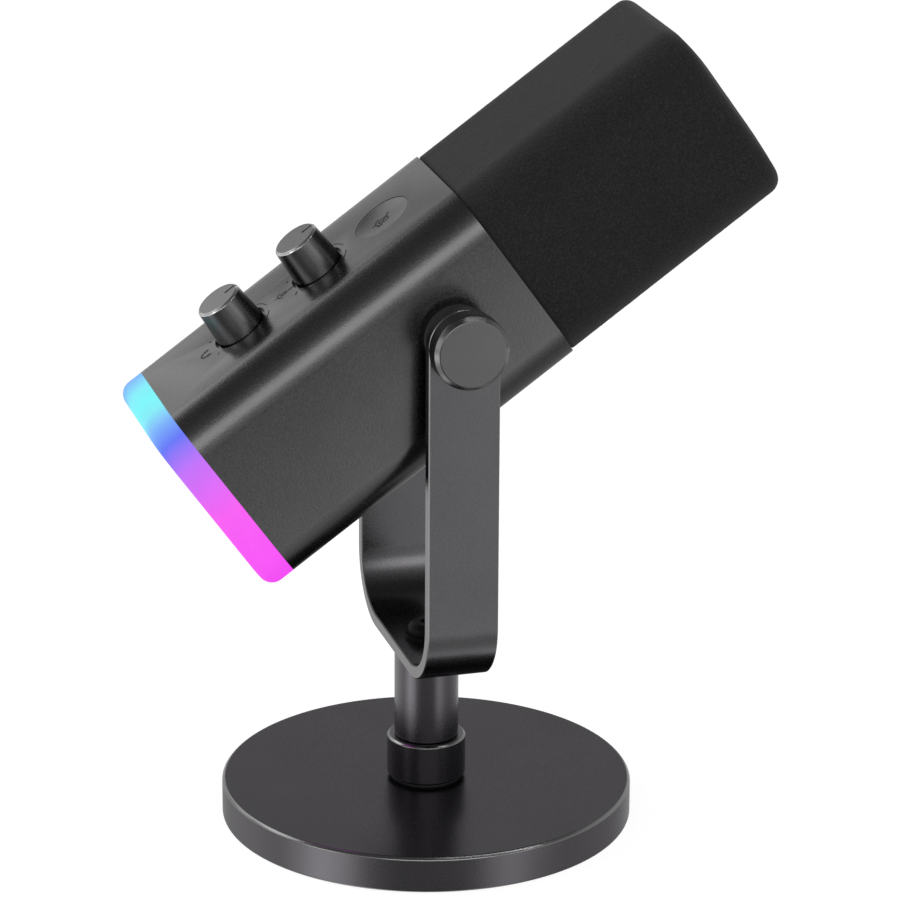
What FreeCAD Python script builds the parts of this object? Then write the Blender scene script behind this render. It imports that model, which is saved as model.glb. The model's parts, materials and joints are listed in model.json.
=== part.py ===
"""Desktop microphone: a tilting square-bodied head in a strap yoke on a round weighted base.

Frame of the whole part: millimetres, +Z up, origin under the middle of the base, +X towards
the end that is spoken into, +Y to the left.  The head is modelled level about the pivot, with
X along its barrel and Z out of its top face, and every head piece is then placed at the pivot
and tilted by head_tilt.
"""
import FreeCAD, Part
import math
import os
import re
import Sketcher

# ---------------------------------------------------------------- driving sizes, millimetres
SIZES = {
    # weighted base
    "base_diameter": 102.0,
    "base_thickness": 9.1,
    "base_edge": 0.9,
    "pad_inset": 3.0,
    "pad_thickness": 1.1,
    "pad_recess": 0.9,
    # stud, collar and post
    "stud_diameter": 9.5,
    "stud_head_diameter": 18.0,
    "stud_head_thickness": 3.0,
    "stud_reach": 12.0,
    "collar_washer_diameter": 17.6,
    "collar_washer_thickness": 0.6,
    "collar_diameter": 19.5,
    "collar_height": 10.6,
    "collar_edge": 0.5,
    "post_diameter": 15.9,
    "post_length": 22.7,
    # strap yoke
    "strap_width": 17.5,
    "strap_thickness": 3.2,
    "yoke_bend": 16.5,
    "pivot_rise": 88.8,
    "yoke_screw_diameter": 5.0,
    "yoke_screw_head_diameter": 9.0,
    "yoke_screw_head_height": 2.8,
    "yoke_screw_head_edge": 1.1,
    "yoke_screw_socket": 3.4,
    "yoke_screw_socket_depth": 1.7,
    "yoke_screw_reach": 7.0,
    "yoke_washer_diameter": 11.0,
    "yoke_washer_thickness": 1.0,
    # thumb screws at the pivot
    "pivot_screw_diameter": 6.0,
    "pivot_screw_grip": 4.0,
    "knob_washer_diameter": 15.2,
    "knob_washer_thickness": 0.6,
    "thumb_diameter": 18.4,
    "thumb_thickness": 6.2,
    "thumb_edge": 1.1,
    "spacer_diameter": 16.0,
    "pivot_gap": 4.05,
    "insert_diameter": 9.0,
    "insert_length": 8.0,
    "insert_flange_diameter": 14.0,
    "insert_flange_thickness": 1.5,
    "pivot_screw_end_gap": 1.0,
    # head shell
    "head_tilt": 35.4,
    "shell_width": 50.9,
    "shell_corner": 10.8,
    "shell_wall": 2.0,
    "shell_front": 20.4,
    "shell_rear": 64.55,
    # light ring at the rear
    "ring_depth": 7.4,
    "ring_wall": 5.0,
    "ring_lip": 6.4,
    "ring_round": 3.6,
    "spigot_length": 4.5,
    "spigot_wall": 2.0,
    # rear panel and rear board
    "panel_inset": 2.0,
    "panel_thickness": 2.5,
    "board_thickness": 1.6,
    "led_width": 2.0,
    "led_depth": 1.6,
    "led_height": 0.9,
    "led_pitch": 10.0,
    "panel_screw_diameter": 2.5,
    "panel_screw_head_diameter": 4.4,
    "panel_screw_head_height": 1.4,
    "panel_screw_margin": 4.6,
    "panel_spacer_diameter": 4.4,
    "panel_nut_diameter": 4.8,
    "panel_nut_thickness": 1.8,
    # sockets and button on the rear panel
    "xlr_margin": 2.35,
    "xlr_bore": 16.2,
    "xlr_outer": 18.6,
    "xlr_flange_diameter": 21.0,
    "xlr_flange_thickness": 1.5,
    "xlr_depth": 15.0,
    "xlr_insulator_thickness": 2.5,
    "xlr_pin_diameter": 2.4,
    "xlr_pin_length": 8.5,
    "xlr_pin_circle": 7.0,
    "xlr_pin_tail": 1.0,
    "socket_rise_share": 0.49,
    "socket_side_share": 0.45,
    "usb_width": 9.0,
    "usb_height": 3.3,
    "usb_sheet": 0.35,
    "usb_proud": 0.4,
    "usb_end_flat": 0.08,
    "usb_tongue_width": 6.7,
    "usb_tongue_height": 0.7,
    "usb_tongue_corner": 0.28,
    "usb_tongue_set_back": 1.2,
    "jack_bore": 3.6,
    "jack_bushing": 6.0,
    "jack_body": 7.8,
    "jack_length": 14.0,
    "jack_proud": 0.8,
    "jack_depth": 14.5,
    "light_button_diameter": 4.8,
    "light_button_flange": 6.4,
    "light_button_flange_thickness": 1.3,
    "light_button_proud": 1.1,
    "light_button_edge": 0.3,
    "light_button_travel": 0.6,
    "switch_width": 6.0,
    "switch_height": 3.5,
    "switch_plunger": 3.2,
    # controls on the top face
    "volume_place": 39.0,
    "gain_place": 15.7,
    "mute_place": 3.9,
    "knob_diameter": 13.0,
    "knob_top_diameter": 11.5,
    "knob_height": 9.5,
    "knob_edge": 0.7,
    "knob_sink": 0.5,
    "knob_recess_depth": 0.8,
    "knob_ring_gap": 0.45,
    "knob_roof": 5.0,
    "pointer_start": 2.3,
    "pointer_width": 0.7,
    "pointer_depth": 0.4,
    "shaft_diameter": 6.0,
    "shaft_start": 2.0,
    "shaft_grip": 5.5,
    "bushing_diameter": 7.0,
    "bushing_proud": 1.2,
    "bushing_roof_gap": 0.3,
    "pot_nut_diameter": 9.6,
    "pot_nut_thickness": 1.8,
    "pot_length": 9.5,
    "pot_width": 10.0,
    "mute_diameter": 15.0,
    "mute_rim": 0.5,
    "mute_dish": 0.9,
    "mute_flange_diameter": 18.0,
    "mute_flange_thickness": 0.9,
    "mute_skin": 0.1,
    "touch_board_thickness": 1.0,
    # main board under the top face
    "main_board_drop": 8.25,
    "main_board_rear": 43.5,
    "main_board_front": 13.0,
    "main_board_inset": 4.45,
    "standoff_rear": 40.5,
    "standoff_front": 9.5,
    "standoff_side": 12.0,
    "standoff_diameter": 4.4,
    "board_screw_diameter": 2.2,
    "board_screw_head_diameter": 4.0,
    "board_screw_head_height": 1.2,
    "board_screw_reach": 5.0,
    "chip_size": 7.0,
    "chip_height": 1.2,
    "capacitor_diameter": 5.0,
    "capacitor_height": 5.4,
    "capacitor_place": 21.75,
    "capacitor_pitch": 7.5,
    "capacitor_margin": 4.0,
    # front bulkhead, capsule and grille
    "bulkhead_thickness": 3.0,
    "bulkhead_inset": 2.0,
    "bulkhead_hole": 12.0,
    "rim_inset": 0.2,
    "rim_wall": 1.4,
    "rim_length": 8.0,
    "capsule_mount_wall": 3.6,
    "capsule_length": 33.0,
    "capsule_edge": 2.0,
    "capsule_lift": 0.4,
    "cover_thickness": 1.0,
    "cover_hole_diameter": 4.0,
    "cover_hole_circle": 18.0,
    "grille_inset": 2.25,
    "grille_corner": 9.0,
    "grille_wall": 1.0,
    "grille_length": 63.5,
    "grille_window": 5.8,
    "grille_bar": 1.5,
    # foam windscreen
    "foam_inset": 0.75,
    "foam_corner": 10.4,
    "foam_round": 6.0,
    "foam_nose": 4.7,
    "foam_gap": 0.3,
    # small screws under the head
    "shell_screw_diameter": 2.0,
    "shell_screw_head_diameter": 3.8,
    "shell_screw_head_height": 1.0,
    "shell_screw_side": 12.0,
    "shell_screw_reach": 1.7,
    # clearances
    "running_gap": 0.05,
    "fit_gap": 0.1,
    "seat_gap": 0.1,
    "hole_gap": 0.25,
}

# ---------------------------------------------------------------- places worked out from them
PLACES = {
    "base_radius": "base_diameter / 2",
    "pad_radius": "base_radius - pad_inset",
    "plate_bottom": "pad_thickness - pad_recess",
    "plate_top": "plate_bottom + base_thickness",
    "stud_radius": "stud_diameter / 2",
    "stud_head_bottom": "pad_thickness + seat_gap",
    "stud_head_top": "stud_head_bottom + stud_head_thickness",
    "collar_bottom": "plate_top + collar_washer_thickness",
    "collar_top": "collar_bottom + collar_height",
    "post_bottom": "collar_top + seat_gap",
    "post_top": "post_bottom + post_length",
    "strap_top": "post_top + strap_thickness",
    "arm_inside": "shell_half + pivot_gap",
    "arm_outside": "arm_inside + strap_thickness",
    "pivot_height": "post_top + pivot_rise",
    "pivot_screw_radius": "pivot_screw_diameter / 2",
    "washer_inside": "arm_outside + seat_gap",
    "thumb_inside": "washer_inside + knob_washer_thickness",
    "thumb_outside": "thumb_inside + thumb_thickness",
    "shell_half": "shell_width / 2",
    "inner_half": "shell_half - shell_wall",
    "inner_corner": "shell_corner - shell_wall",
    "ring_rear": "-shell_rear - ring_depth",
    "spigot_end": "spigot_length - shell_rear",
    "panel_rear": "ring_rear + panel_inset",
    "panel_front": "panel_rear + panel_thickness",
    "panel_half": "shell_half - ring_wall - fit_gap",
    "panel_screw_spread": "panel_half - panel_screw_margin",
    "xlr_drop": "panel_half - xlr_flange_diameter / 2 - xlr_margin",
    "socket_rise": "panel_half * socket_rise_share",
    "socket_side": "panel_half * socket_side_share",
    "board_rear": "spigot_end + fit_gap + led_height",
    "board_front": "board_rear + board_thickness",
    "xlr_mouth": "panel_rear - xlr_flange_thickness",
    "xlr_floor": "xlr_mouth + xlr_depth",
    "xlr_end": "xlr_floor + xlr_insulator_thickness",
    "usb_mouth": "panel_rear - usb_proud",
    "jack_mouth": "panel_rear - jack_proud",
    "button_outside": "panel_rear - light_button_proud",
    "button_flange": "panel_front + seat_gap",
    "button_inside": "button_flange + light_button_flange_thickness",
    "switch_top": "button_inside + light_button_travel + seat_gap",
    "recess_floor": "shell_half - knob_recess_depth",
    "knob_bottom": "shell_half - knob_sink",
    "knob_top": "shell_half + knob_height",
    "shaft_top": "knob_top - knob_roof + shaft_grip / 2",
    "bushing_top": "recess_floor + pot_nut_thickness + bushing_proud - fit_gap",
    "cavity_top": "bushing_top + bushing_roof_gap",
    "main_board_top": "inner_half - main_board_drop",
    "main_board_bottom": "main_board_top - board_thickness",
    "main_board_half": "inner_half - main_board_inset",
    "pot_top": "inner_half - fit_gap",
    "mute_top": "shell_half - fit_gap",
    "mute_flange_top": "inner_half - fit_gap / 2",
    "mute_flange_bottom": "mute_flange_top - mute_flange_thickness",
    "touch_top": "mute_flange_bottom - fit_gap / 2",
    "bulkhead_front": "shell_front - bulkhead_inset",
    "bulkhead_rear": "bulkhead_front - bulkhead_thickness",
    "capsule_rear": "bulkhead_front + capsule_lift",
    "capsule_front": "capsule_rear + capsule_length",
    "grille_rear": "bulkhead_front + fit_gap",
    "grille_front": "grille_rear + grille_length",
    "grille_half": "inner_half - grille_inset",
    "mesh_rear": "grille_rear + rim_length + grille_bar",
    "mesh_front": "grille_front - grille_wall",
    "mesh_side": "grille_half - grille_corner",
    "rim_radius": "grille_half - grille_wall - rim_inset",
    "rim_inside": "rim_radius - rim_wall",
    "capsule_radius": "rim_inside - capsule_mount_wall",
    "foam_half": "shell_half - foam_inset",
    "foam_rear": "shell_front + foam_gap",
    "foam_front": "grille_front + foam_gap + foam_nose",
}

SIDES = {"left": 1, "right": -1}
WORD = re.compile(r"[a-z][a-z_]*")

doc = FreeCAD.newDocument("DesktopMicrophone")
sheet = doc.addObject("Spreadsheet::Sheet", "Sizes")
parts = []


def fill_sheet():
    """One row for each driving size: its name, its value and the alias that names the cell."""
    for row, (name, value) in enumerate(SIZES.items(), start=1):
        sheet.set("A%d" % row, name)
        sheet.set("B%d" % row, str(value))
        sheet.setAlias("B%d" % row, name)
    doc.recompute()


def cells(text):
    """Rewrite a formula of named sizes and places in terms of the sheet's cells."""
    def swap(match):
        word = match.group(0)
        if word in PLACES:
            return "(" + cells(PLACES[word]) + ")"
        if word in SIZES:
            return "Sizes." + word
        return word
    return WORD.sub(swap, text)


def number(text):
    """The present value of a formula."""
    return float(sheet.evalExpression(cells(text)))


# ---------------------------------------------------------------- bodies and where they stand
def new_body(label):
    """An upright piece, in the frame of the whole part."""
    body = doc.addObject("PartDesign::Body", label)
    body.Label = label
    body.AllowCompound = True
    parts.append(body)
    return body


def new_head_body(label):
    """A piece of the head: modelled level about the pivot, then lifted and tilted."""
    body = new_body(label)
    turn = FreeCAD.Rotation(FreeCAD.Vector(0, -1, 0), number("head_tilt"))
    body.Placement = FreeCAD.Placement(FreeCAD.Vector(0, 0, number("pivot_height")), turn)
    body.setExpression("Placement.Base.z", cells("pivot_height"))
    body.setExpression("Placement.Rotation.Angle", cells("head_tilt"))
    return body


# ---------------------------------------------------------------- sketches
def new_sketch(body, role, offset):
    """A sketch on one of the body's own origin planes, moved by three formulas."""
    plane = [item for item in body.Origin.OriginFeatures if item.Role == role][0]
    sketch = body.newObject("Sketcher::SketchObject", body.Name + "_sketch")
    sketch.AttachmentSupport = (plane, "")
    sketch.MapMode = "FlatFace"
    for axis, text in zip("xyz", offset):
        sketch.setExpression("AttachmentOffset.Base." + axis, cells(text))
    return sketch


def bind(sketch, constraint, text):
    """Add a driving dimension whose value follows a formula."""
    index = sketch.addConstraint(constraint)
    sketch.setExpression("Constraints[%d]" % index, cells(text))


def pin_point(sketch, element, end, x_text, y_text):
    """Fix one point of an element by its distances from the sketch's origin."""
    x_distance = Sketcher.Constraint("DistanceX", -1, 1, element, end, number(x_text))
    y_distance = Sketcher.Constraint("DistanceY", -1, 1, element, end, number(y_text))
    bind(sketch, x_distance, x_text)
    bind(sketch, y_distance, y_text)


def add_circle(sketch, x_text, y_text, radius_text):
    centre = FreeCAD.Vector(number(x_text), number(y_text), 0)
    circle = Part.Circle(centre, FreeCAD.Vector(0, 0, 1), number(radius_text))
    element = sketch.addGeometry(circle, False)
    pin_point(sketch, element, 3, x_text, y_text)
    bind(sketch, Sketcher.Constraint("Radius", element, number(radius_text)), radius_text)


def stepped(corner, towards, distance):
    """The point at a distance from a corner along the square edge towards the next corner."""
    moved = []
    for here, there in zip(corner[:2], towards[:2]):
        gap = number(there) - number(here)
        if abs(gap) < 1e-6:
            moved.append(here)
        else:
            moved.append("(%s) %s (%s)" % (here, "+" if gap > 0 else "-", distance))
    return tuple(moved)


def round_corner(sketch, start, finish, corner, radius):
    """An arc that rounds a square corner; it says which of its ends comes first."""
    first, last, apex = [FreeCAD.Vector(number(p[0]), number(p[1]), 0)
                         for p in (start, finish, corner)]
    centre = first + last - apex
    angles = [math.atan2(point.y - centre.y, point.x - centre.x) for point in (first, last)]
    turns_left = (first - centre).cross(last - centre).z > 0
    if not turns_left:
        angles.reverse()
    circle = Part.Circle(centre, FreeCAD.Vector(0, 0, 1), number(radius))
    element = sketch.addGeometry(Part.ArcOfCircle(circle, angles[0], angles[1]), False)
    bind(sketch, Sketcher.Constraint("Radius", element, number(radius)), radius)
    return (element, 1, 2) if turns_left else (element, 2, 1)


def add_outline(sketch, corners):
    """A closed outline through the corners; a corner's third value is its rounding radius."""
    points = []
    arcs = {}
    for index, corner in enumerate(corners):
        if len(corner) == 2:
            points.append(corner)
            continue
        radius = corner[2]
        arcs[len(points)] = (corner, radius)
        points.append(stepped(corner, corners[index - 1], radius))
        points.append(stepped(corner, corners[(index + 1) % len(corners)], radius))
    elements = []
    for index, start in enumerate(points):
        finish = points[(index + 1) % len(points)]
        if index in arcs:
            elements.append(round_corner(sketch, start, finish, *arcs[index]))
        else:
            ends = [FreeCAD.Vector(number(p[0]), number(p[1]), 0) for p in (start, finish)]
            elements.append((sketch.addGeometry(Part.LineSegment(*ends), False), 1, 2))
    for index, (element, head, tail) in enumerate(elements):
        following = elements[(index + 1) % len(elements)]
        join = Sketcher.Constraint("Coincident", element, tail, following[0], following[1])
        sketch.addConstraint(join)
        pin_point(sketch, element, head, *points[index])


def add_rectangle(sketch, low_x, low_y, high_x, high_y):
    add_outline(sketch, [(low_x, low_y), (high_x, low_y), (high_x, high_y), (low_x, high_y)])


def add_round_square(sketch, half, corner):
    """A square about the sketch's origin, by its half width and corner radius."""
    add_round_box(sketch, "0", "0", half, half, corner)


def add_round_box(sketch, x_text, y_text, half_x, half_y, corner):
    low_x, high_x = "(%s) - (%s)" % (x_text, half_x), "(%s) + (%s)" % (x_text, half_x)
    low_y, high_y = "(%s) - (%s)" % (y_text, half_y), "(%s) + (%s)" % (y_text, half_y)
    add_outline(sketch, [(low_x, low_y, corner), (high_x, low_y, corner),
                         (high_x, high_y, corner), (low_x, high_y, corner)])


# ---------------------------------------------------------------- features
PLANES = {"X": "YZ_Plane", "Y": "XZ_Plane", "Z": "XY_Plane"}
# The XZ plane looks along -Y, so a sketch on it moves and grows the other way.
FACING = {"X": 1, "Y": -1, "Z": 1}


def plane_sketch(body, along, start):
    """A sketch square to one axis, at a place along that axis."""
    level = start if FACING[along] > 0 else "-(%s)" % start
    return new_sketch(body, PLANES[along], ("0", "0", level))


def pad(body, along, start, finish, draw):
    """Solid between two places along an axis, with the outline that draw(sketch) makes."""
    sketch = plane_sketch(body, along, start)
    draw(sketch)
    feature = body.newObject("PartDesign::Pad", body.Name + "_pad")
    feature.Profile = sketch
    feature.Reversed = FACING[along] < 0
    feature.setExpression("Length", cells("(%s) - (%s)" % (finish, start)))
    return feature


def past(place):
    """A place carried on by 1 mm, so that a cut runs clear through the face there."""
    return place + " + 1"


def before(place):
    """A place brought back by 1 mm, so that a cut starts clear of the face there."""
    return place + " - 1"


def cut(body, along, start, finish, draw):
    """Remove what lies inside an outline between two places along an axis."""
    sketch = plane_sketch(body, along, start)
    draw(sketch)
    feature = body.newObject("PartDesign::Pocket", body.Name + "_pocket")
    feature.Profile = sketch
    feature.Reversed = FACING[along] > 0
    feature.setExpression("Length", cells("(%s) - (%s)" % (finish, start)))
    return feature


def turned(body, along, profile, centre=("0", "0")):
    """A turned solid about an axis along X, Y or Z; its profile is (place, radius) pairs.

    centre gives where the axis runs, as its two other coordinates in X, Y, Z order.
    """
    first, second = centre
    if along == "Z":
        sketch = new_sketch(body, "XZ_Plane", (first, "0", "-(%s)" % second))
        corners = [(radius, place) for place, radius in profile]
    elif along == "X":
        sketch = new_sketch(body, "XZ_Plane", ("0", second, "-(%s)" % first))
        corners = profile
    else:
        sketch = new_sketch(body, "YZ_Plane", ("0", second, first))
        corners = profile
    add_outline(sketch, corners)
    feature = body.newObject("PartDesign::Revolution", body.Name + "_turning")
    feature.Profile = sketch
    feature.ReferenceAxis = (sketch, ["V_Axis" if along == "Z" else "H_Axis"])
    return feature


def edge_names(feature, wanted):
    doc.recompute()
    return ["Edge%d" % (index + 1) for index, edge in enumerate(feature.Shape.Edges)
            if wanted(edge)]


def fillet(body, radius, wanted):
    """Round the edges of the body's last feature that wanted(edge) picks."""
    base = body.Tip
    names = edge_names(base, wanted)
    feature = body.newObject("PartDesign::Fillet", body.Name + "_fillet")
    feature.Base = (base, names)
    feature.setExpression("Radius", cells(radius))
    return feature


def lies_at(axis, place):
    """A test for edges whose every point has this coordinate in the body's own frame."""
    level = number(place)

    def test(edge):
        low = getattr(edge.BoundBox, axis + "Min")
        high = getattr(edge.BoundBox, axis + "Max")
        return abs(low - level) < 1e-4 and abs(high - level) < 1e-4
    return test


def ring(inner, outer, start, finish):
    """The profile of a plain ring, for turned()."""
    return [(start, inner), (finish, inner), (finish, outer), (start, outer)]


def square_corners(spread):
    """The four corners of a square pattern, as formula pairs."""
    return [("%d * (%s)" % (a, spread), "%d * (%s)" % (b, spread))
            for a in (1, -1) for b in (1, -1)]


def circles(places, radius):
    """A drawing of equal circles at several places."""
    def draw(sketch):
        for x_text, y_text in places:
            add_circle(sketch, x_text, y_text, radius)
    return draw


# ---------------------------------------------------------------- base, stud, collar and post
def make_base():
    profile = [
        ("plate_top", "stud_radius + running_gap"),
        ("plate_top", "base_radius - base_edge"),
        ("plate_top - base_edge", "base_radius"),
        ("plate_bottom + base_edge / 2", "base_radius"),
        ("plate_bottom", "base_radius - base_edge / 2"),
        ("plate_bottom", "pad_radius + fit_gap"),
        ("pad_thickness", "pad_radius + fit_gap"),
        ("pad_thickness", "stud_head_diameter / 2 + hole_gap"),
        ("stud_head_top", "stud_head_diameter / 2 + hole_gap"),
        ("stud_head_top", "stud_radius + running_gap"),
    ]
    turned(new_body("base_plate"), "Z", profile)
    pad(new_body("base_pad"), "Z", "0", "pad_thickness", circles([("0", "0")], "pad_radius"))


def make_stud_and_collar():
    stud = [
        ("stud_head_bottom", "0"),
        ("stud_head_bottom", "stud_head_diameter / 2"),
        ("stud_head_top", "stud_head_diameter / 2"),
        ("stud_head_top", "stud_radius"),
        ("post_bottom + stud_reach", "stud_radius"),
        ("post_bottom + stud_reach", "0"),
    ]
    turned(new_body("base_stud"), "Z", stud)
    washer = ring("stud_radius + running_gap", "collar_washer_diameter / 2",
                  "plate_top", "collar_bottom")
    turned(new_body("collar_washer"), "Z", washer)
    collar = [
        ("collar_bottom", "stud_radius + running_gap"),
        ("collar_bottom", "collar_diameter / 2 - collar_edge"),
        ("collar_bottom + collar_edge", "collar_diameter / 2"),
        ("collar_top - collar_edge", "collar_diameter / 2"),
        ("collar_top", "collar_diameter / 2 - collar_edge"),
        ("collar_top", "stud_radius + running_gap"),
    ]
    turned(new_body("lock_collar"), "Z", collar)


def make_post():
    screw_radius = "yoke_screw_diameter / 2 + running_gap"
    profile = [
        ("post_bottom", "stud_radius + running_gap"),
        ("post_bottom", "post_diameter / 2"),
        ("post_top", "post_diameter / 2"),
        ("post_top", screw_radius),
        ("post_top - yoke_screw_reach - seat_gap", screw_radius),
        ("post_top - yoke_screw_reach - seat_gap", "0"),
        ("post_bottom + stud_reach + seat_gap", "0"),
        ("post_bottom + stud_reach + seat_gap", "stud_radius + running_gap"),
    ]
    turned(new_body("stand_post"), "Z", profile)


# ---------------------------------------------------------------- yoke and its screw
def make_yoke():
    yoke = new_body("yoke")

    def strap(sketch):
        inner_bend = "yoke_bend - strap_thickness"
        add_outline(sketch, [
            ("-arm_outside", "post_top", "yoke_bend"),
            ("arm_outside", "post_top", "yoke_bend"),
            ("arm_outside", "pivot_height"),
            ("arm_inside", "pivot_height"),
            ("arm_inside", "strap_top", inner_bend),
            ("-arm_inside", "strap_top", inner_bend),
            ("-arm_inside", "pivot_height"),
            ("-arm_outside", "pivot_height"),
        ])
    pad(yoke, "X", "-strap_width / 2", "strap_width / 2", strap)
    arm_end = circles([("0", "pivot_height")], "strap_width / 2")
    pad(yoke, "Y", "arm_inside", "arm_outside", arm_end)
    pad(yoke, "Y", "-arm_outside", "-arm_inside", arm_end)
    pivot_hole = circles([("0", "pivot_height")], "pivot_screw_radius + running_gap")
    cut(yoke, "Y", before("-arm_outside"), past("arm_outside"), pivot_hole)
    screw_hole = circles([("0", "0")], "yoke_screw_diameter / 2 + hole_gap")
    cut(yoke, "Z", before("post_top"), past("strap_top"), screw_hole)


def make_yoke_screw():
    washer_top = "strap_top + yoke_washer_thickness"
    washer = ring("yoke_screw_diameter / 2 + hole_gap", "yoke_washer_diameter / 2",
                  "strap_top", washer_top)
    turned(new_body("yoke_washer"), "Z", washer)
    screw = new_body("yoke_screw")
    head_radius = "yoke_screw_head_diameter / 2"
    head_top = washer_top + " + yoke_screw_head_height"
    turned(screw, "Z", [
        ("post_top - yoke_screw_reach", "0"),
        ("post_top - yoke_screw_reach", "yoke_screw_diameter / 2"),
        (washer_top, "yoke_screw_diameter / 2"),
        (washer_top, head_radius),
        (head_top + " - yoke_screw_head_edge", head_radius),
        (head_top, head_radius + " - yoke_screw_head_edge"),
        (head_top, "0"),
    ])
    socket = hexagon("yoke_screw_socket / 2")
    cut(screw, "Z", head_top + " - yoke_screw_socket_depth", past(head_top), socket)


def hexagon(radius):
    """A drawing of a hexagon about the origin, by its corner radius."""
    corners = []
    for step in range(6):
        angle = math.radians(60 * step + 30)
        corners.append(("(%s) * %.6f" % (radius, math.cos(angle)),
                        "(%s) * %.6f" % (radius, math.sin(angle))))
    return lambda sketch: add_outline(sketch, corners)


# ---------------------------------------------------------------- pivot hardware, both sides
def mirrored(profile, sign):
    """A Y profile on the left side, or its mirror image on the right."""
    return [("%d * (%s)" % (sign, place), radius) for place, radius in profile]


def make_pivot(side, sign):
    pivot_centre = ("0", "pivot_height")
    bore = "pivot_screw_radius"
    screw_inside = "shell_half - insert_length + pivot_screw_end_gap"
    screw_outside = "thumb_inside + pivot_screw_grip"

    def turn_on_pivot(name, profile):
        turned(new_body(name + "_" + side), "Y", mirrored(profile, sign), pivot_centre)

    turn_on_pivot("pivot_screw", [
        (screw_inside, "0"), (screw_inside, bore), (screw_outside, bore), (screw_outside, "0")])
    turn_on_pivot("thumb_washer", ring(bore + " + running_gap", "knob_washer_diameter / 2",
                                       "washer_inside", "thumb_inside"))
    turn_on_pivot("thumb_knob", [
        ("thumb_inside", bore + " + running_gap"),
        ("thumb_inside", "thumb_diameter / 2 - thumb_edge / 2"),
        ("thumb_inside + thumb_edge / 2", "thumb_diameter / 2"),
        ("thumb_outside - thumb_edge", "thumb_diameter / 2"),
        ("thumb_outside", "thumb_diameter / 2 - thumb_edge"),
        ("thumb_outside", "0"),
        (screw_outside + " + seat_gap", "0"),
        (screw_outside + " + seat_gap", bore + " + running_gap"),
    ])
    turned(new_head_body("pivot_spacer_" + side), "Y", mirrored(
        ring(bore + " + hole_gap", "spacer_diameter / 2",
             "shell_half", "arm_inside - seat_gap"), sign))
    turned(new_head_body("pivot_insert_" + side), "Y", mirrored([
        ("shell_half - insert_length", bore + " + running_gap"),
        ("shell_half", bore + " + running_gap"),
        ("shell_half", "insert_diameter / 2"),
        ("inner_half", "insert_diameter / 2"),
        ("inner_half", "insert_flange_diameter / 2"),
        ("inner_half - insert_flange_thickness", "insert_flange_diameter / 2"),
        ("inner_half - insert_flange_thickness", "insert_diameter / 2"),
        ("shell_half - insert_length", "insert_diameter / 2"),
    ], sign))


# ---------------------------------------------------------------- head shell and light ring
def make_shell():
    shell = new_head_body("head_shell")
    pad(shell, "X", "-shell_rear", "shell_front",
        lambda sketch: add_round_square(sketch, "shell_half", "shell_corner"))
    cut(shell, "X", before("-shell_rear"), past("shell_front"),
        lambda sketch: add_round_square(sketch, "inner_half", "inner_corner"))
    knob_places = [("-volume_place", "0"), ("-gain_place", "0")]
    cut(shell, "Z", "recess_floor", past("shell_half"),
        circles(knob_places, "knob_diameter / 2 + knob_ring_gap"))
    cut(shell, "Z", "0", "shell_half",
        circles(knob_places, "bushing_diameter / 2 + fit_gap"))
    cut(shell, "Z", "0", past("shell_half"),
        circles([("mute_place", "0")], "mute_diameter / 2 + fit_gap"))
    cut(shell, "Y", before("-shell_half"), past("shell_half"),
        circles([("0", "0")], "insert_diameter / 2 + running_gap"))
    cut(shell, "Z", before("-shell_half"), "0",
        circles(shell_screw_places(), "shell_screw_diameter / 2 + fit_gap"))
    cut(shell, "Z", before("-shell_half"), "-shell_half + shell_screw_head_height",
        circles(shell_screw_places(), "shell_screw_head_diameter / 2 + fit_gap"))


def shell_screw_places():
    """Two screws hold the light ring's spigot and two hold the front bulkhead."""
    along = ("spigot_end - spigot_length / 2", "(bulkhead_front + bulkhead_rear) / 2")
    return [(place, "%d * shell_screw_side" % sign) for place in along for sign in (1, -1)]


def make_shell_screws():
    screws = new_head_body("shell_screws")
    head_bottom = "-shell_half"
    head_top = "-shell_half + shell_screw_head_height - fit_gap"
    pad(screws, "Z", head_bottom, head_top,
        circles(shell_screw_places(), "shell_screw_head_diameter / 2"))
    pad(screws, "Z", head_top, "-inner_half + shell_screw_reach",
        circles(shell_screw_places(), "shell_screw_diameter / 2"))


def make_light_ring():
    light = new_head_body("light_ring")
    pad(light, "X", "ring_rear", "-shell_rear",
        lambda sketch: add_round_square(sketch, "shell_half", "shell_corner"))
    fillet(light, "ring_round", lies_at("X", "ring_rear"))
    pad(light, "X", "-shell_rear", "spigot_end",
        lambda sketch: add_round_square(sketch, "inner_half - fit_gap",
                                        "inner_corner - fit_gap"))
    cut(light, "X", before("ring_rear"), "panel_rear",
        lambda sketch: add_round_square(sketch, "shell_half - ring_lip",
                                        "shell_corner - ring_lip"))
    cut(light, "X", "panel_rear", past("-shell_rear"),
        lambda sketch: add_round_square(sketch, "shell_half - ring_wall",
                                        "shell_corner - ring_wall"))
    cut(light, "X", "-shell_rear", past("spigot_end"),
        lambda sketch: add_round_square(sketch, "inner_half - fit_gap - spigot_wall",
                                        "inner_corner - fit_gap - spigot_wall"))
    cut(light, "Z", "-shell_half", "0", circles(
        shell_screw_places()[:2], "shell_screw_diameter / 2 + fit_gap"))


# ---------------------------------------------------------------- rear panel and rear board
USB_CENTRE = ("-socket_side", "socket_rise")
JACK_CENTRE = ("socket_side", "socket_rise")
BUTTON_CENTRE = ("0", "socket_rise")
XLR_CENTRE = ("0", "-xlr_drop")
PANEL_SCREWS = square_corners("panel_screw_spread")


def usb_hull(gap):
    """The socket's oval outline, grown by a gap on every side."""
    half_x, half_y = "usb_width / 2 + (%s)" % gap, "usb_height / 2 + (%s)" % gap
    corner = "%s - usb_end_flat" % half_y
    return lambda sketch: add_round_box(sketch, *USB_CENTRE, half_x, half_y, corner)


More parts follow.
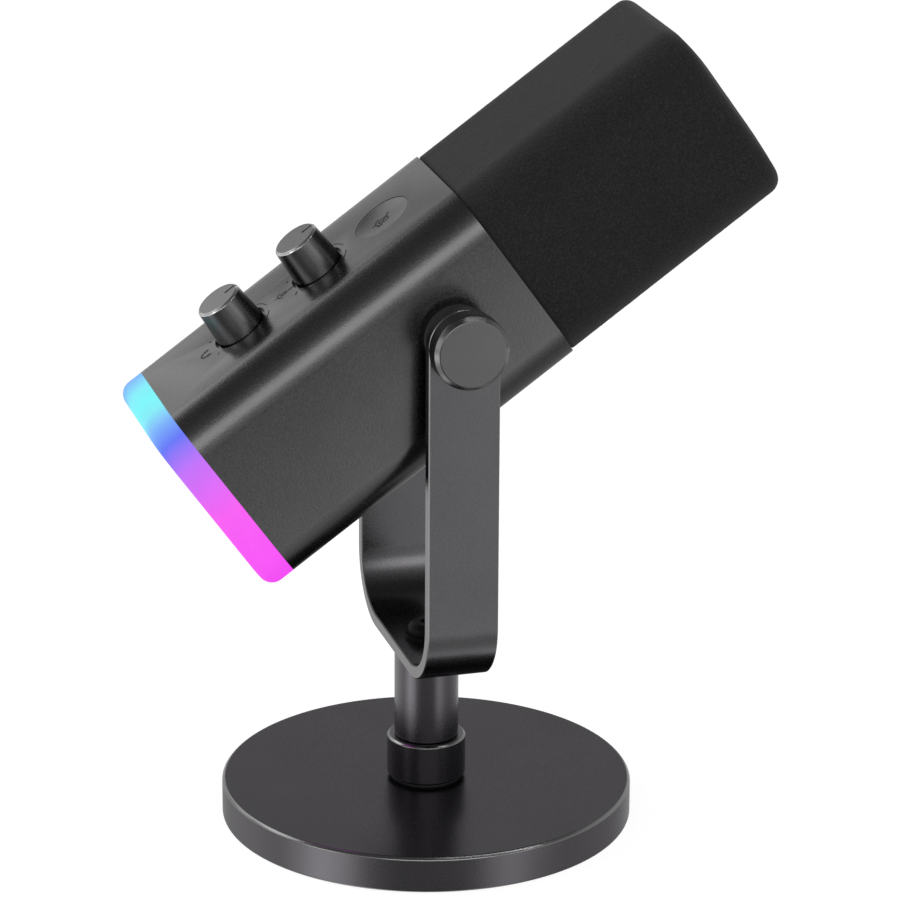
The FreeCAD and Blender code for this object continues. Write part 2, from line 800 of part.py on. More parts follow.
def make_rear_panel():
    panel = new_head_body("rear_panel")
    pad(panel, "X", "panel_rear", "panel_front",
        lambda sketch: add_round_square(sketch, "panel_half",
                                        "shell_corner - ring_wall - fit_gap"))
    cut(panel, "X", before("panel_rear"), past("panel_front"),
        circles([XLR_CENTRE], "xlr_outer / 2 + fit_gap"))
    cut(panel, "X", before("panel_rear"), past("panel_front"),
        circles([JACK_CENTRE], "jack_bushing / 2 + fit_gap"))
    cut(panel, "X", before("panel_rear"), past("panel_front"),
        circles([BUTTON_CENTRE], "light_button_diameter / 2 + fit_gap"))
    cut(panel, "X", before("panel_rear"), past("panel_front"), usb_hull("fit_gap"))
    cut(panel, "X", before("panel_rear"), past("panel_front"),
        circles(PANEL_SCREWS, "panel_screw_diameter / 2 + fit_gap"))


def make_rear_board():
    board = new_head_body("rear_board")
    pad(board, "X", "board_rear", "board_front",
        lambda sketch: add_round_square(sketch, "inner_half - hole_gap",
                                        "inner_corner - hole_gap"))
    cut(board, "X", before("board_rear"), past("board_front"),
        circles([XLR_CENTRE], "xlr_outer / 2 + fit_gap"))
    cut(board, "X", before("board_rear"), past("board_front"),
        circles([JACK_CENTRE], "jack_body / 2 + fit_gap"))
    cut(board, "X", before("board_rear"), past("board_front"),
        circles(PANEL_SCREWS, "panel_screw_diameter / 2 + fit_gap"))


def make_leds():
    """Three lamps along each side of the rear board, under the light ring's spigot."""
    line = "inner_half - fit_gap - spigot_wall / 2"

    def draw(sketch):
        for step in (-1, 0, 1):
            along = "%d * led_pitch" % step
            for sign in (1, -1):
                out = "%d * (%s)" % (sign, line)
                add_block(sketch, along, out, "led_width / 2", "led_depth / 2")
                add_block(sketch, out, along, "led_depth / 2", "led_width / 2")
    pad(new_head_body("rgb_lamps"), "X", "board_rear - led_height", "board_rear", draw)


def add_block(sketch, x_text, y_text, half_x, half_y):
    """A rectangle by its centre and half sizes."""
    add_rectangle(sketch, "%s - %s" % (x_text, half_x), "%s - %s" % (y_text, half_y),
                  "%s + %s" % (x_text, half_x), "%s + %s" % (y_text, half_y))


def make_panel_fasteners():
    screws = new_head_body("panel_screws")
    pad(screws, "X", "panel_rear - panel_screw_head_height", "panel_rear",
        circles(PANEL_SCREWS, "panel_screw_head_diameter / 2"))
    pad(screws, "X", "panel_rear", "board_front + panel_nut_thickness",
        circles(PANEL_SCREWS, "panel_screw_diameter / 2"))
    spacers = new_head_body("panel_spacers")
    pad(spacers, "X", "panel_front", "board_rear",
        circles(PANEL_SCREWS, "panel_spacer_diameter / 2"))
    cut(spacers, "X", before("panel_front"), past("board_rear"),
        circles(PANEL_SCREWS, "panel_screw_diameter / 2 + running_gap"))
    nuts = new_head_body("panel_nuts")
    pad(nuts, "X", "board_front", "board_front + panel_nut_thickness",
        circles(PANEL_SCREWS, "panel_nut_diameter / 2"))
    cut(nuts, "X", before("board_front"), past("board_front + panel_nut_thickness"),
        circles(PANEL_SCREWS, "panel_screw_diameter / 2 + running_gap"))


# ---------------------------------------------------------------- sockets and light button
def pin_places():
    """Two contacts above and one below the socket's centre."""
    places = []
    for angle in (30, 150, 270):
        across = math.cos(math.radians(angle))
        up = math.sin(math.radians(angle))
        places.append(("xlr_pin_circle / 2 * %.6f" % across,
                       "xlr_pin_circle / 2 * %.6f - xlr_drop" % up))
    return places


def make_xlr():
    barrel = [
        ("xlr_mouth", "xlr_bore / 2"),
        ("xlr_mouth", "xlr_flange_diameter / 2"),
        ("panel_rear", "xlr_flange_diameter / 2"),
        ("panel_rear", "xlr_outer / 2"),
        ("xlr_end", "xlr_outer / 2"),
        ("xlr_end", "xlr_bore / 2"),
    ]
    turned(new_head_body("xlr_barrel"), "X", barrel, XLR_CENTRE)
    insulator = new_head_body("xlr_insulator")
    pad(insulator, "X", "xlr_floor", "xlr_end",
        circles([XLR_CENTRE], "xlr_bore / 2 - running_gap"))
    cut(insulator, "X", before("xlr_floor"), past("xlr_end"),
        circles(pin_places(), "xlr_pin_diameter / 2 + running_gap"))
    pad(new_head_body("xlr_contacts"), "X", "xlr_floor - xlr_pin_length", "xlr_end + xlr_pin_tail",
        circles(pin_places(), "xlr_pin_diameter / 2"))


def make_usb():
    hull = new_head_body("usb_hull")
    pad(hull, "X", "usb_mouth", "board_rear", usb_hull("0"))
    cut(hull, "X", before("usb_mouth"), "board_rear - usb_sheet", usb_hull("-usb_sheet"))
    tongue_x, tongue_y = "usb_tongue_width / 2", "usb_tongue_height / 2"
    tongue = new_head_body("usb_tongue")
    pad(tongue, "X", "usb_mouth + usb_tongue_set_back", "board_rear - usb_sheet",
        lambda sketch: add_round_box(sketch, *USB_CENTRE, tongue_x, tongue_y,
                                     "usb_tongue_corner"))


def make_jack():
    jack_floor = "jack_mouth + jack_depth"
    turned(new_head_body("phones_jack"), "X", [
        ("jack_mouth", "jack_bore / 2"),
        ("jack_mouth", "jack_bushing / 2"),
        ("panel_front", "jack_bushing / 2"),
        ("panel_front", "jack_body / 2"),
        ("panel_front + jack_length", "jack_body / 2"),
        ("panel_front + jack_length", "0"),
        (jack_floor, "0"),
        (jack_floor, "jack_bore / 2"),
    ], JACK_CENTRE)


def make_light_button():
    turned(new_head_body("light_button"), "X", [
        ("button_outside", "0"),
        ("button_outside", "light_button_diameter / 2 - light_button_edge"),
        ("button_outside + light_button_edge", "light_button_diameter / 2"),
        ("button_flange", "light_button_diameter / 2"),
        ("button_flange", "light_button_flange / 2"),
        ("button_inside", "light_button_flange / 2"),
        ("button_inside", "0"),
    ], BUTTON_CENTRE)
    switch = new_head_body("light_switch")
    body_top = "board_rear - switch_height"
    half = "switch_width / 2"
    pad(switch, "X", body_top, "board_rear",
        lambda sketch: add_block(sketch, *BUTTON_CENTRE, half, half))
    pad(switch, "X", "switch_top", body_top, circles([BUTTON_CENTRE], "switch_plunger / 2"))


# ---------------------------------------------------------------- knobs and potentiometers
def make_control(name, place):
    """A knob on the top face with its potentiometer, shaft and nut below it."""
    centre = [(place, "0")]
    pot = new_head_body(name + "_potentiometer")
    pad(pot, "Z", "main_board_top", "pot_top", lambda sketch: add_block(
        sketch, place, "0", "pot_length / 2", "pot_width / 2"))
    pad(pot, "Z", "pot_top", "bushing_top", circles(centre, "bushing_diameter / 2"))
    shaft_bottom = "main_board_top + shaft_start"
    cut(pot, "Z", shaft_bottom, past("bushing_top"),
        circles(centre, "shaft_diameter / 2 + running_gap"))
    pad(new_head_body(name + "_shaft"), "Z", shaft_bottom + " + seat_gap", "shaft_top",
        circles(centre, "shaft_diameter / 2"))
    nut = new_head_body(name + "_nut")
    nut_bottom = "recess_floor"
    turned(nut, "Z", ring("bushing_diameter / 2 + running_gap", "pot_nut_diameter / 2",
                          nut_bottom, "recess_floor + pot_nut_thickness"), (place, "0"))
    make_knob(name, place)


def make_knob(name, place):
    knob = new_head_body(name + "_knob")
    shaft_bore = "shaft_diameter / 2 + running_gap"
    cavity = "pot_nut_diameter / 2 + hole_gap"
    turned(knob, "Z", [
        ("knob_bottom", cavity),
        ("knob_bottom", "knob_diameter / 2"),
        ("knob_top - knob_edge", "knob_top_diameter / 2"),
        ("knob_top", "knob_top_diameter / 2 - knob_edge"),
        ("knob_top", "0"),
        ("shaft_top + seat_gap", "0"),
        ("shaft_top + seat_gap", shaft_bore),
        ("cavity_top", shaft_bore),
        ("cavity_top", cavity),
    ], (place, "0"))
    pointer = "pointer_width / 2"
    cut(knob, "Z", "knob_top - pointer_depth", past("knob_top"),
        lambda sketch: add_rectangle(sketch, place + " + pointer_start", "-" + pointer,
                                     past(place + " + knob_diameter / 2"), pointer))


# ---------------------------------------------------------------- mute pad
def make_mute_pad():
    mute = new_head_body("mute_pad")
    turned(mute, "Z", [
        ("mute_flange_bottom", "0"),
        ("mute_flange_bottom", "mute_flange_diameter / 2"),
        ("mute_flange_top", "mute_flange_diameter / 2"),
        ("mute_flange_top", "mute_diameter / 2"),
        ("mute_top", "mute_diameter / 2"),
        ("mute_top", "0"),
    ], ("mute_place", "0"))
    rim = "(mute_diameter / 2 - mute_rim)"
    sphere_radius = "(%s ^ 2 + mute_dish ^ 2) / (2 * mute_dish)" % rim
    dish = body_sphere(mute, sphere_radius)
    dish.setExpression("AttachmentOffset.Base.x", cells("mute_place"))
    dish.setExpression("AttachmentOffset.Base.z",
                       cells("mute_top - mute_dish + " + sphere_radius))
    turned(new_head_body("touch_board"), "Z", [
        ("touch_top - touch_board_thickness", "0"),
        ("touch_top - touch_board_thickness", "mute_flange_diameter / 2"),
        ("touch_top", "mute_flange_diameter / 2"),
        ("touch_top", "0"),
    ], ("mute_place", "0"))


def body_sphere(body, radius):
    """A ball that hollows the body, attached to its XY plane."""
    ball = body.newObject("PartDesign::SubtractiveSphere", body.Name + "_dish")
    plane = [item for item in body.Origin.OriginFeatures if item.Role == "XY_Plane"][0]
    ball.AttachmentSupport = (plane, "")
    ball.MapMode = "FlatFace"
    ball.setExpression("Radius", cells(radius))
    return ball


# ---------------------------------------------------------------- main board
def standoff_places():
    return [(place, "%d * standoff_side" % sign)
            for place in ("-standoff_rear", "standoff_front") for sign in (1, -1)]


def make_main_board():
    board = new_head_body("main_board")
    pad(board, "Z", "main_board_bottom", "main_board_top",
        lambda sketch: add_rectangle(sketch, "-main_board_rear", "-main_board_half",
                                     "main_board_front", "main_board_half"))
    cut(board, "Z", before("main_board_bottom"), past("main_board_top"),
        circles(standoff_places(), "board_screw_diameter / 2 + fit_gap"))
    standoffs = new_head_body("board_standoffs")
    pad(standoffs, "Z", "main_board_top", "inner_half",
        circles(standoff_places(), "standoff_diameter / 2"))
    cut(standoffs, "Z", before("main_board_top"), "main_board_top + board_screw_reach",
        circles(standoff_places(), "board_screw_diameter / 2 + running_gap"))
    screws = new_head_body("board_screws")
    pad(screws, "Z", "main_board_bottom - board_screw_head_height", "main_board_bottom",
        circles(standoff_places(), "board_screw_head_diameter / 2"))
    pad(screws, "Z", "main_board_bottom", "main_board_top + board_screw_reach - seat_gap",
        circles(standoff_places(), "board_screw_diameter / 2"))


def make_chips():
    """The sound chip and controller, and three capacitors, on the board's lower face."""
    chips = new_head_body("board_chips")
    along = ("-volume_place + chip_size", "-gain_place + chip_size")

    def draw(sketch):
        for sign, place in zip((1, -1), along):
            add_block(sketch, place, "%d * chip_size" % sign, "chip_size / 2", "chip_size / 2")
    pad(chips, "Z", "main_board_bottom - chip_height", "main_board_bottom", draw)
    cans = [("%d * capacitor_pitch - capacitor_place" % step,
             "capacitor_margin - main_board_half") for step in (-1, 0, 1)]
    pad(chips, "Z", "main_board_bottom - capacitor_height", "main_board_bottom",
        circles(cans, "capacitor_diameter / 2"))


# ---------------------------------------------------------------- bulkhead, capsule and grille
def make_bulkhead():
    plate = new_head_body("front_bulkhead")
    pad(plate, "X", "bulkhead_rear", "bulkhead_front",
        lambda sketch: add_round_square(sketch, "inner_half - fit_gap",
                                        "inner_corner - fit_gap"))
    pad(plate, "X", "bulkhead_front", "bulkhead_front + rim_length",
        circles([("0", "0")], "rim_radius"))
    cut(plate, "X", "bulkhead_front", past("bulkhead_front + rim_length"),
        circles([("0", "0")], "rim_inside"))
    cut(plate, "X", before("bulkhead_rear"), past("bulkhead_front"),
        circles([("0", "0")], "bulkhead_hole / 2"))
    cut(plate, "Z", "-shell_half", "0", circles(
        shell_screw_places()[2:], "shell_screw_diameter / 2 + fit_gap"))


def make_capsule():
    mount = ring("capsule_radius + running_gap", "rim_inside - running_gap",
                 "bulkhead_front", "bulkhead_front + rim_length")
    turned(new_head_body("capsule_mount"), "X", mount)
    turned(new_head_body("capsule"), "X", [
        ("capsule_rear", "0"),
        ("capsule_rear", "capsule_radius - capsule_edge"),
        ("capsule_rear + capsule_edge", "capsule_radius"),
        ("capsule_front", "capsule_radius"),
        ("capsule_front", "0"),
    ])
    cover = new_head_body("capsule_cover")
    cover_front = "capsule_front + cover_thickness"
    pad(cover, "X", "capsule_front", cover_front, circles([("0", "0")], "capsule_radius"))
    holes = [("0", "0")]
    for step in range(6):
        angle = math.radians(60 * step)
        holes.append(("cover_hole_circle / 2 * %.6f" % math.cos(angle),
                      "cover_hole_circle / 2 * %.6f" % math.sin(angle)))
    cut(cover, "X", before("capsule_front"), past(cover_front),
        circles(holes, "cover_hole_diameter / 2"))


def window_steps(span, taken):
    """How many windows with bars between them fit along a span, at their present size."""
    pitch = number("grille_window + grille_bar")
    return int((number(span) - number(taken)) // pitch)


def window_row(count):
    """The starts of a row of windows that is centred on the barrel's axis."""
    first = "(%d * (grille_window + grille_bar) - grille_bar) / 2" % count
    return ["%d * (grille_window + grille_bar) - %s" % (step, first) for step in range(count)]


def make_grille():
    """A guard round the capsule, under the foam: a collar, corner rails and mesh panels."""
    def square_tube(body, start, finish):
        pad(body, "X", start, finish,
            lambda sketch: add_round_square(sketch, "grille_half", "grille_corner"))
        cut(body, "X", start, finish, lambda sketch: add_round_square(
            sketch, "grille_half - grille_wall", "grille_corner - grille_wall"))

    square_tube(new_head_body("grille_collar"), "grille_rear", "mesh_rear")
    rails = new_head_body("grille_rails")
    square_tube(rails, "mesh_rear", "mesh_front")
    outside = past("grille_half")
    for half_x, half_y in (("mesh_side", outside), (outside, "mesh_side")):
        cut(rails, "X", before("mesh_rear"), past("mesh_front"), lambda sketch: add_rectangle(
            sketch, "-(%s)" % half_x, "-(%s)" % half_y, half_x, half_y))
    make_grille_panels()


def make_grille_panels():
    panels = new_head_body("grille_panels")
    middle, half_wall = "(grille_half - grille_wall / 2)", "grille_wall / 2"

    def side_panels(sketch):
        for sign in (1, -1):
            out = "%d * %s" % (sign, middle)
            add_block(sketch, "0", out, "mesh_side", half_wall)
            add_block(sketch, out, "0", half_wall, "mesh_side")
    pad(panels, "X", "mesh_rear", "mesh_front - fit_gap", side_panels)
    pad(panels, "X", "mesh_front", "grille_front",
        lambda sketch: add_round_square(sketch, "grille_half", "grille_corner"))

    columns = window_steps("mesh_front - fit_gap - mesh_rear", "grille_bar")
    across = window_row(window_steps("2 * mesh_side", "grille_bar"))
    front = window_row(window_steps("2 * (grille_half - grille_wall)", "2 * grille_bar"))
    along = ["mesh_rear + grille_bar + %d * (grille_window + grille_bar)" % step
             for step in range(columns)]

    def windows(starts_x, starts_y):
        def draw(sketch):
            for x_text in starts_x:
                for y_text in starts_y:
                    add_rectangle(sketch, x_text, y_text, x_text + " + grille_window",
                                  y_text + " + grille_window")
        return draw
    cut(panels, "Z", before("-grille_half"), past("grille_half"), windows(along, across))
    cut(panels, "Y", before("-grille_half"), past("grille_half"), windows(along, across))
    cut(panels, "X", "mesh_front - fit_gap / 2", past("grille_front"), windows(front, front))


def make_foam():
    foam = new_head_body("foam_windscreen")
    pad(foam, "X", "foam_rear", "foam_front",
        lambda sketch: add_round_square(sketch, "foam_half", "foam_corner"))
    fillet(foam, "foam_round", lies_at("X", "foam_front"))
    cut(foam, "X", before("foam_rear"), "grille_front + foam_gap",
        lambda sketch: add_round_square(sketch, "grille_half + foam_gap",
                                        "grille_corner + foam_gap"))


# ---------------------------------------------------------------- checking and writing
def check_model():
    """Every feature computed, every cut removed something, every piece is sound."""
    for item in doc.Objects:
        if "Invalid" in item.State or "Error" in item.State:
            raise RuntimeError("%s failed to compute: %s" % (item.Label, item.State))
        if item.TypeId == "PartDesign::Pocket":
            before = item.BaseFeature.Shape.Volume
            if before - item.Shape.Volume < 1e-3:
                raise RuntimeError("%s removed nothing" % item.Label)
    for body in parts:
        if body.Shape.isNull() or not body.Shape.isValid():
            raise RuntimeError("%s has no sound shape" % body.Label)


def write_parts():
    os.makedirs("parts", exist_ok=True)
    for body in parts:
        body.Shape.exportStep("parts/%s.step" % body.Label)
        print(body.Label, len(body.Shape.Solids), round(body.Shape.Volume, 1))


def main():
    fill_sheet()
    make_base()
    make_stud_and_collar()
    make_post()
    make_yoke()
    make_yoke_screw()
    for side, sign in SIDES.items():
        make_pivot(side, sign)
    make_shell()
    make_shell_screws()
    make_light_ring()
    make_rear_panel()
    make_rear_board()
    make_leds()
    make_panel_fasteners()
    make_xlr()
    make_usb()
    make_jack()
    make_light_button()
    make_control("volume", "-volume_place")
    make_control("gain", "-gain_place")
    make_mute_pad()
    make_main_board()
    make_chips()
    make_bulkhead()
    make_capsule()
    make_grille()
    make_foam()
    doc.recompute()
    check_model()
    write_parts()


main()
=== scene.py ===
import json
import math
from contextlib import contextmanager

import bmesh
import bpy
from mathutils import Matrix, Vector


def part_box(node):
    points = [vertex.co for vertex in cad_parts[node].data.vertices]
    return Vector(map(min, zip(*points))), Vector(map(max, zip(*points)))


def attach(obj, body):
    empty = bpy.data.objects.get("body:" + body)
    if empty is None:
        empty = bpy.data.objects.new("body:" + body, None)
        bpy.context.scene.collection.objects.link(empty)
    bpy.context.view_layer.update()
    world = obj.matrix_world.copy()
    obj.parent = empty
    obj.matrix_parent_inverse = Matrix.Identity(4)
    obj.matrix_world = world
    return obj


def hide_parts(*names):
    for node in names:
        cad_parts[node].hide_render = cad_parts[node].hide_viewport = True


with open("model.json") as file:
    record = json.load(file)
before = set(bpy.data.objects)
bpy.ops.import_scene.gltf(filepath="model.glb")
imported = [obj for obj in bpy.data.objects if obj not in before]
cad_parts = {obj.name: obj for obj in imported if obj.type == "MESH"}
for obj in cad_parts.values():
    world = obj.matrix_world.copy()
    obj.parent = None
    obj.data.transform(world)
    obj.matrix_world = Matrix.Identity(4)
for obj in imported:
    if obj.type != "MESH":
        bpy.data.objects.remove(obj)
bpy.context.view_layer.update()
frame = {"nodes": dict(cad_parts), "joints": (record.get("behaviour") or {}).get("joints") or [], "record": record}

MM = 0.001
NODES = frame["nodes"]
JOINTS = {joint["name"]: joint for joint in frame["joints"]}

# ---------------- sizes, in metres
SAME_PLACE = 0.01 * MM
MERGE_GAP = 0.001 * MM
FIT_GAP = 0.1 * MM
STUD_GAP = 0.05 * MM
LOOSE_GAP = 0.25 * MM

ROUND_STEPS = 128
DISC_STEPS = 224
WIDE_STEPS = 96
HOLE_STEPS = 64
SMALL_STEPS = 32
CORNER_STEPS = 14
ROUND_OVER_STEPS = 8
CROWN_STEPS = 10
BEND_STEPS = 20
END_STEPS = 24
ARC_STEPS = 16

# How far the sharp edges are softened.
FINE_EDGE = 0.22 * MM
COLLAR_SOFT = 0.12 * MM
THUMB_SOFT = 0.2 * MM
SHELL_SOFT = 0.18 * MM
RING_SOFT = 0.15 * MM
DIAL_SOFT = 0.1 * MM
MUTE_SOFT = 0.04 * MM
STRAP_EDGE = 0.5 * MM

BASE_EDGE = 0.65 * MM
COLLAR_EDGE = 0.5 * MM
THUMB_EDGE = 1.1 * MM
KNOB_EDGE = 0.5 * MM
# How far past its edge a bright rim reaches, inwards and down, as shares of the edge: the painted highlight on the
# base, the bare cut metal on the dials.
RIM_REACH = 1.3
RIM_DEPTH = 1.1

STRAP_THICKNESS = 3.2 * MM
YOKE_BEND = 16.5 * MM
PIVOT_SCREW_BORE = 3.05 * MM
YOKE_SCREW_RADIUS = 2.5 * MM
YOKE_SCREW_BORE = 2.75 * MM

SHELL_CORNER = 10.8 * MM
SHELL_WALL = 2.0 * MM
PIVOT_BUSH_BORE = 4.55 * MM
DIAL_BUSH_BORE = 3.6 * MM
SHELL_SCREW_SINK = 2.0 * MM
SHELL_SCREW_BORE = 1.1 * MM
RING_ROUND = 3.6 * MM
RING_LIP = 6.4 * MM
RING_WALL = 5.0 * MM
SPIGOT_WALL = 2.0 * MM

KNOB_TOP_RADIUS = 5.75 * MM
KNOB_RECESS_GAP = 0.7 * MM
KNOB_RECESS_DEPTH = 0.8 * MM
POINTER_START = 2.3 * MM
POINTER_WIDTH = 0.7 * MM
POINTER_DEPTH = 0.4 * MM

MUTE_RADIUS = 7.5 * MM
MUTE_SEAM = 0.03 * MM
MUTE_RIM = 0.12 * MM
MUTE_DISH = 0.8 * MM
MUTE_DISH_STEPS = 16

FOAM_CORNER = 10.4 * MM
FOAM_ROUND = 3.6 * MM
FOAM_CROWN = 2.4 * MM
FOAM_WALL = 3.2 * MM
FOAM_SEAT_GAP = 0.05 * MM
FOAM_GRILLE_GAP = 0.3 * MM
FOAM_CELL = 0.6 * MM
FOAM_CLOUD = 0.9 * MM
FOAM_FUZZ = 0.05 * MM
# What the foam's sides and nose lose when its skin is remade in cells.
FOAM_SIDE_LOSS = 0.25 * MM
FOAM_NOSE_LOSS = 0.75 * MM

PRINT_DEPTH = 0.04 * MM
PRINT_LIFT = 0.02 * MM
SCALE_RADIUS = 8.4 * MM
SCALE_LINE = 0.24 * MM
SCALE_ARCS = ((8, 38), (-46, -17))
MARK_BEHIND = 7.7 * MM
DOT_RADIUS = 0.3 * MM
DASH_TURN = 0.9
HEADPHONES_BEHIND = 10.3 * MM
HEADPHONES_RADIUS = 1.3 * MM
CAPSULE_AHEAD = 1.6 * MM
FINE_LINE = 0.32 * MM
BOLD_LINE = 0.42 * MM
STROKE_LENGTH = 5.8 * MM
STROKE_TURN = 0.75

# ---------------- the head's own frame
PIVOT = Vector(JOINTS["head_tilt"]["pos_m"])
BARREL_AXIS = Vector(JOINTS["windscreen_pull"]["axis"])
TILT = math.atan2(BARREL_AXIS.z, BARREL_AXIS.x)
HEAD = Matrix.Translation(PIVOT) @ Matrix.Rotation(-TILT, 4, "Y")
LEVEL = HEAD.inverted()
TOP_WAY = HEAD.to_3x3() @ Vector((0, 0, 1))


def level_box(node):
    """Lowest and highest corners of a node with the barrel laid level about its pivot."""
    points = [LEVEL @ vertex.co for vertex in NODES[node].data.vertices]
    low = Vector([min(point[axis] for point in points) for axis in range(3)])
    high = Vector([max(point[axis] for point in points) for axis in range(3)])
    return low, high


SHELL_LOW, SHELL_HIGH = level_box("head_shell")
SHELL_HALF = SHELL_HIGH.y
RING_LOW, RING_HIGH = level_box("light_ring")
PANEL_REAR = level_box("rear_panel")[0].x
FOAM_HIGH = level_box("foam_windscreen")[1]
PLATE_LOW, PLATE_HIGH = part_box("base_plate")
POST_LOW, POST_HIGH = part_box("stand_post")
COLLAR_LOW, COLLAR_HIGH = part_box("lock_collar")
YOKE_LOW, YOKE_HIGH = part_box("yoke")


def stud_sizes():
    """The stud's shaft radius and the top of its head, read from its own rings."""
    stud = [vertex.co for vertex in NODES["base_stud"].data.vertices]
    top = max(point.z for point in stud)
    shaft = max(point.xy.length for point in stud if point.z > top - MM)
    head = max(point.xy.length for point in stud)
    head_top = max(point.z for point in stud if point.xy.length > head - SAME_PLACE)
    return shaft, head_top


STUD_SHAFT, STUD_HEAD_TOP = stud_sizes()
STUD_BORE = STUD_SHAFT + STUD_GAP


# ---------------- modelling helpers
ACROSS = Matrix.Rotation(math.pi / 2, 4, "X")


def clear_selection():
    bpy.ops.object.select_all(action="DESELECT")


def select_only(piece):
    clear_selection()
    piece.select_set(True)
    bpy.context.view_layer.objects.active = piece


def add_piece(name, add_primitive, stretch=(1, 1, 1), **where):
    """Adds a primitive at its size and place, names it and keeps its place in its mesh."""
    clear_selection()
    add_primitive(**where)
    piece = bpy.context.object
    piece.name = piece.data.name = name
    piece.scale = stretch
    bpy.ops.object.transform_apply(location=True, rotation=True, scale=True)
    return piece


@contextmanager
def editing(piece):
    """Edit mode on one piece, with all of it selected at the start."""
    select_only(piece)
    bpy.ops.object.mode_set(mode="EDIT")
    bpy.ops.mesh.select_mode(type="VERT")
    bpy.ops.mesh.select_all(action="SELECT")
    yield
    bpy.ops.object.mode_set(mode="OBJECT")


def pick(piece, kind, test):
    """In edit mode, selects the faces, edges or vertices whose place passes a test."""
    bpy.ops.mesh.select_mode(type={"faces": "FACE", "edges": "EDGE", "verts": "VERT"}[kind])
    bpy.ops.mesh.select_all(action="DESELECT")
    mesh = bmesh.from_edit_mesh(piece.data)
    for item in getattr(mesh, kind):
        if kind == "faces":
            chosen = test(item.calc_center_median(), item.normal)
        elif kind == "edges":
            chosen = test((item.verts[0].co + item.verts[1].co) / 2, item)
        else:
            chosen = test(item.co)
        item.select_set(chosen)
    mesh.select_flush_mode()
    bmesh.update_edit_mesh(piece.data)


def faces_nose(place, normal):
    return normal.x > 0.9


def faces_rear(place, normal):
    return normal.x < -0.9


def extrude_faces(x=0, z=0):
    bpy.ops.mesh.extrude_region_move(TRANSFORM_OT_translate={"value": (x, 0, z)})


def extrude_edges(y=0, z=0):
    bpy.ops.mesh.extrude_edges_move(TRANSFORM_OT_translate={"value": (0, y, z)})


def spin_edges(turn, axis, centre, steps):
    """Sweeps the picked edges round an axis; the operator counts its angle the other way."""
    bpy.ops.mesh.spin(steps=steps, angle=-turn, axis=axis, center=centre)


def merge_and_face_outwards():
    bpy.ops.mesh.remove_doubles(threshold=MERGE_GAP)
    bpy.ops.mesh.normals_make_consistent(inside=False)


def tidy_faces(piece):
    with editing(piece):
        merge_and_face_outwards()


def apply_modifier(piece, kind, **settings):
    select_only(piece)
    modifier = piece.modifiers.new(kind.title(), kind)
    for name, value in settings.items():
        setattr(modifier, name, value)
    bpy.ops.object.modifier_apply(modifier=modifier.name)


def cut_away(piece, cutter):
    """Takes a cutter's shape out of a piece and throws the cutter away."""
    apply_modifier(piece, "BOOLEAN", operation="DIFFERENCE", object=cutter, solver="EXACT")
    bpy.data.objects.remove(cutter)


def soften(piece, width=FINE_EDGE, sharp=32, steps=3):
    """Breaks the sharp edges with a fine round or chamfer, and shades the rest smooth."""
    apply_modifier(piece, "BEVEL", width=width, segments=steps, limit_method="ANGLE",
                   angle_limit=math.radians(sharp), use_clamp_overlap=True)
    select_only(piece)
    bpy.ops.object.shade_smooth_by_angle(angle=math.radians(sharp))
    apply_modifier(piece, "WEIGHTED_NORMAL", keep_sharp=True, weight=80)


def copy_of(piece, name):
    """A copy of a finished piece, with its own mesh."""
    twin = piece.copy()
    twin.data = piece.data.copy()
    twin.name = twin.data.name = name
    bpy.context.scene.collection.objects.link(twin)
    return twin


def move_mesh(piece, matrix):
    """Puts a finished piece in its place, in its mesh."""
    piece.data.transform(matrix)
    piece.data.update()


def turned(name, outline, steps=ROUND_STEPS, hollow=False):
    """A lathe piece about Z, drawn ring by ring along its outline of (radius, height).

    A hollow piece's outline runs all the way round its section, back to its start.
    """
    radius, height = outline[0]
    filling = "NOTHING" if hollow else "NGON"
    piece = add_piece(name, bpy.ops.mesh.primitive_circle_add, vertices=steps,
                      radius=radius, fill_type=filling, location=(0, 0, height))
    rings = outline[1:] + outline[:1] if hollow else outline[1:]
    extrude = extrude_edges if hollow else extrude_faces
    with editing(piece):
        for next_radius, next_height in rings:
            extrude(z=next_height - height)
            wider = next_radius / radius
            bpy.ops.transform.resize(value=(wider, wider, 1), center_override=(0, 0, 0))
            radius, height = next_radius, next_height
    tidy_faces(piece)
    return piece


def round_rod(name, radius, start, finish, steps=HOLE_STEPS):
    """A plain rod along Z, for cutting holes."""
    return add_piece(name, bpy.ops.mesh.primitive_cylinder_add, vertices=steps, radius=radius,
                     depth=finish - start, location=(0, 0, (start + finish) / 2))


def squared_bar(name, inset, start, finish, half=None, corner=SHELL_CORNER):
    """A bar along the barrel with the shell's rounded square section, drawn in by an inset."""
    half = (SHELL_HALF if half is None else half) - inset
    piece = add_piece(name, bpy.ops.mesh.primitive_plane_add, size=2 * half,
                      location=(start, 0, 0), rotation=(0, math.pi / 2, 0))
    with editing(piece):
        bpy.ops.mesh.bevel(offset=corner - inset, offset_type="OFFSET",
                           segments=CORNER_STEPS, affect="VERTICES")
        pick(piece, "faces", lambda place, normal: True)
        extrude_faces(x=finish - start)
    tidy_faces(piece)
    return piece


def round_over(radius):
    """Rounds the edge of the picked end face: a run of insets along a quarter circle."""
    turn = math.pi / 2 / ROUND_OVER_STEPS
    for step in range(ROUND_OVER_STEPS):
        inwards = radius * (math.cos(turn * step) - math.cos(turn * (step + 1)))
        outwards = radius * (math.sin(turn * (step + 1)) - math.sin(turn * step))
        bpy.ops.mesh.inset(thickness=inwards, depth=outwards)


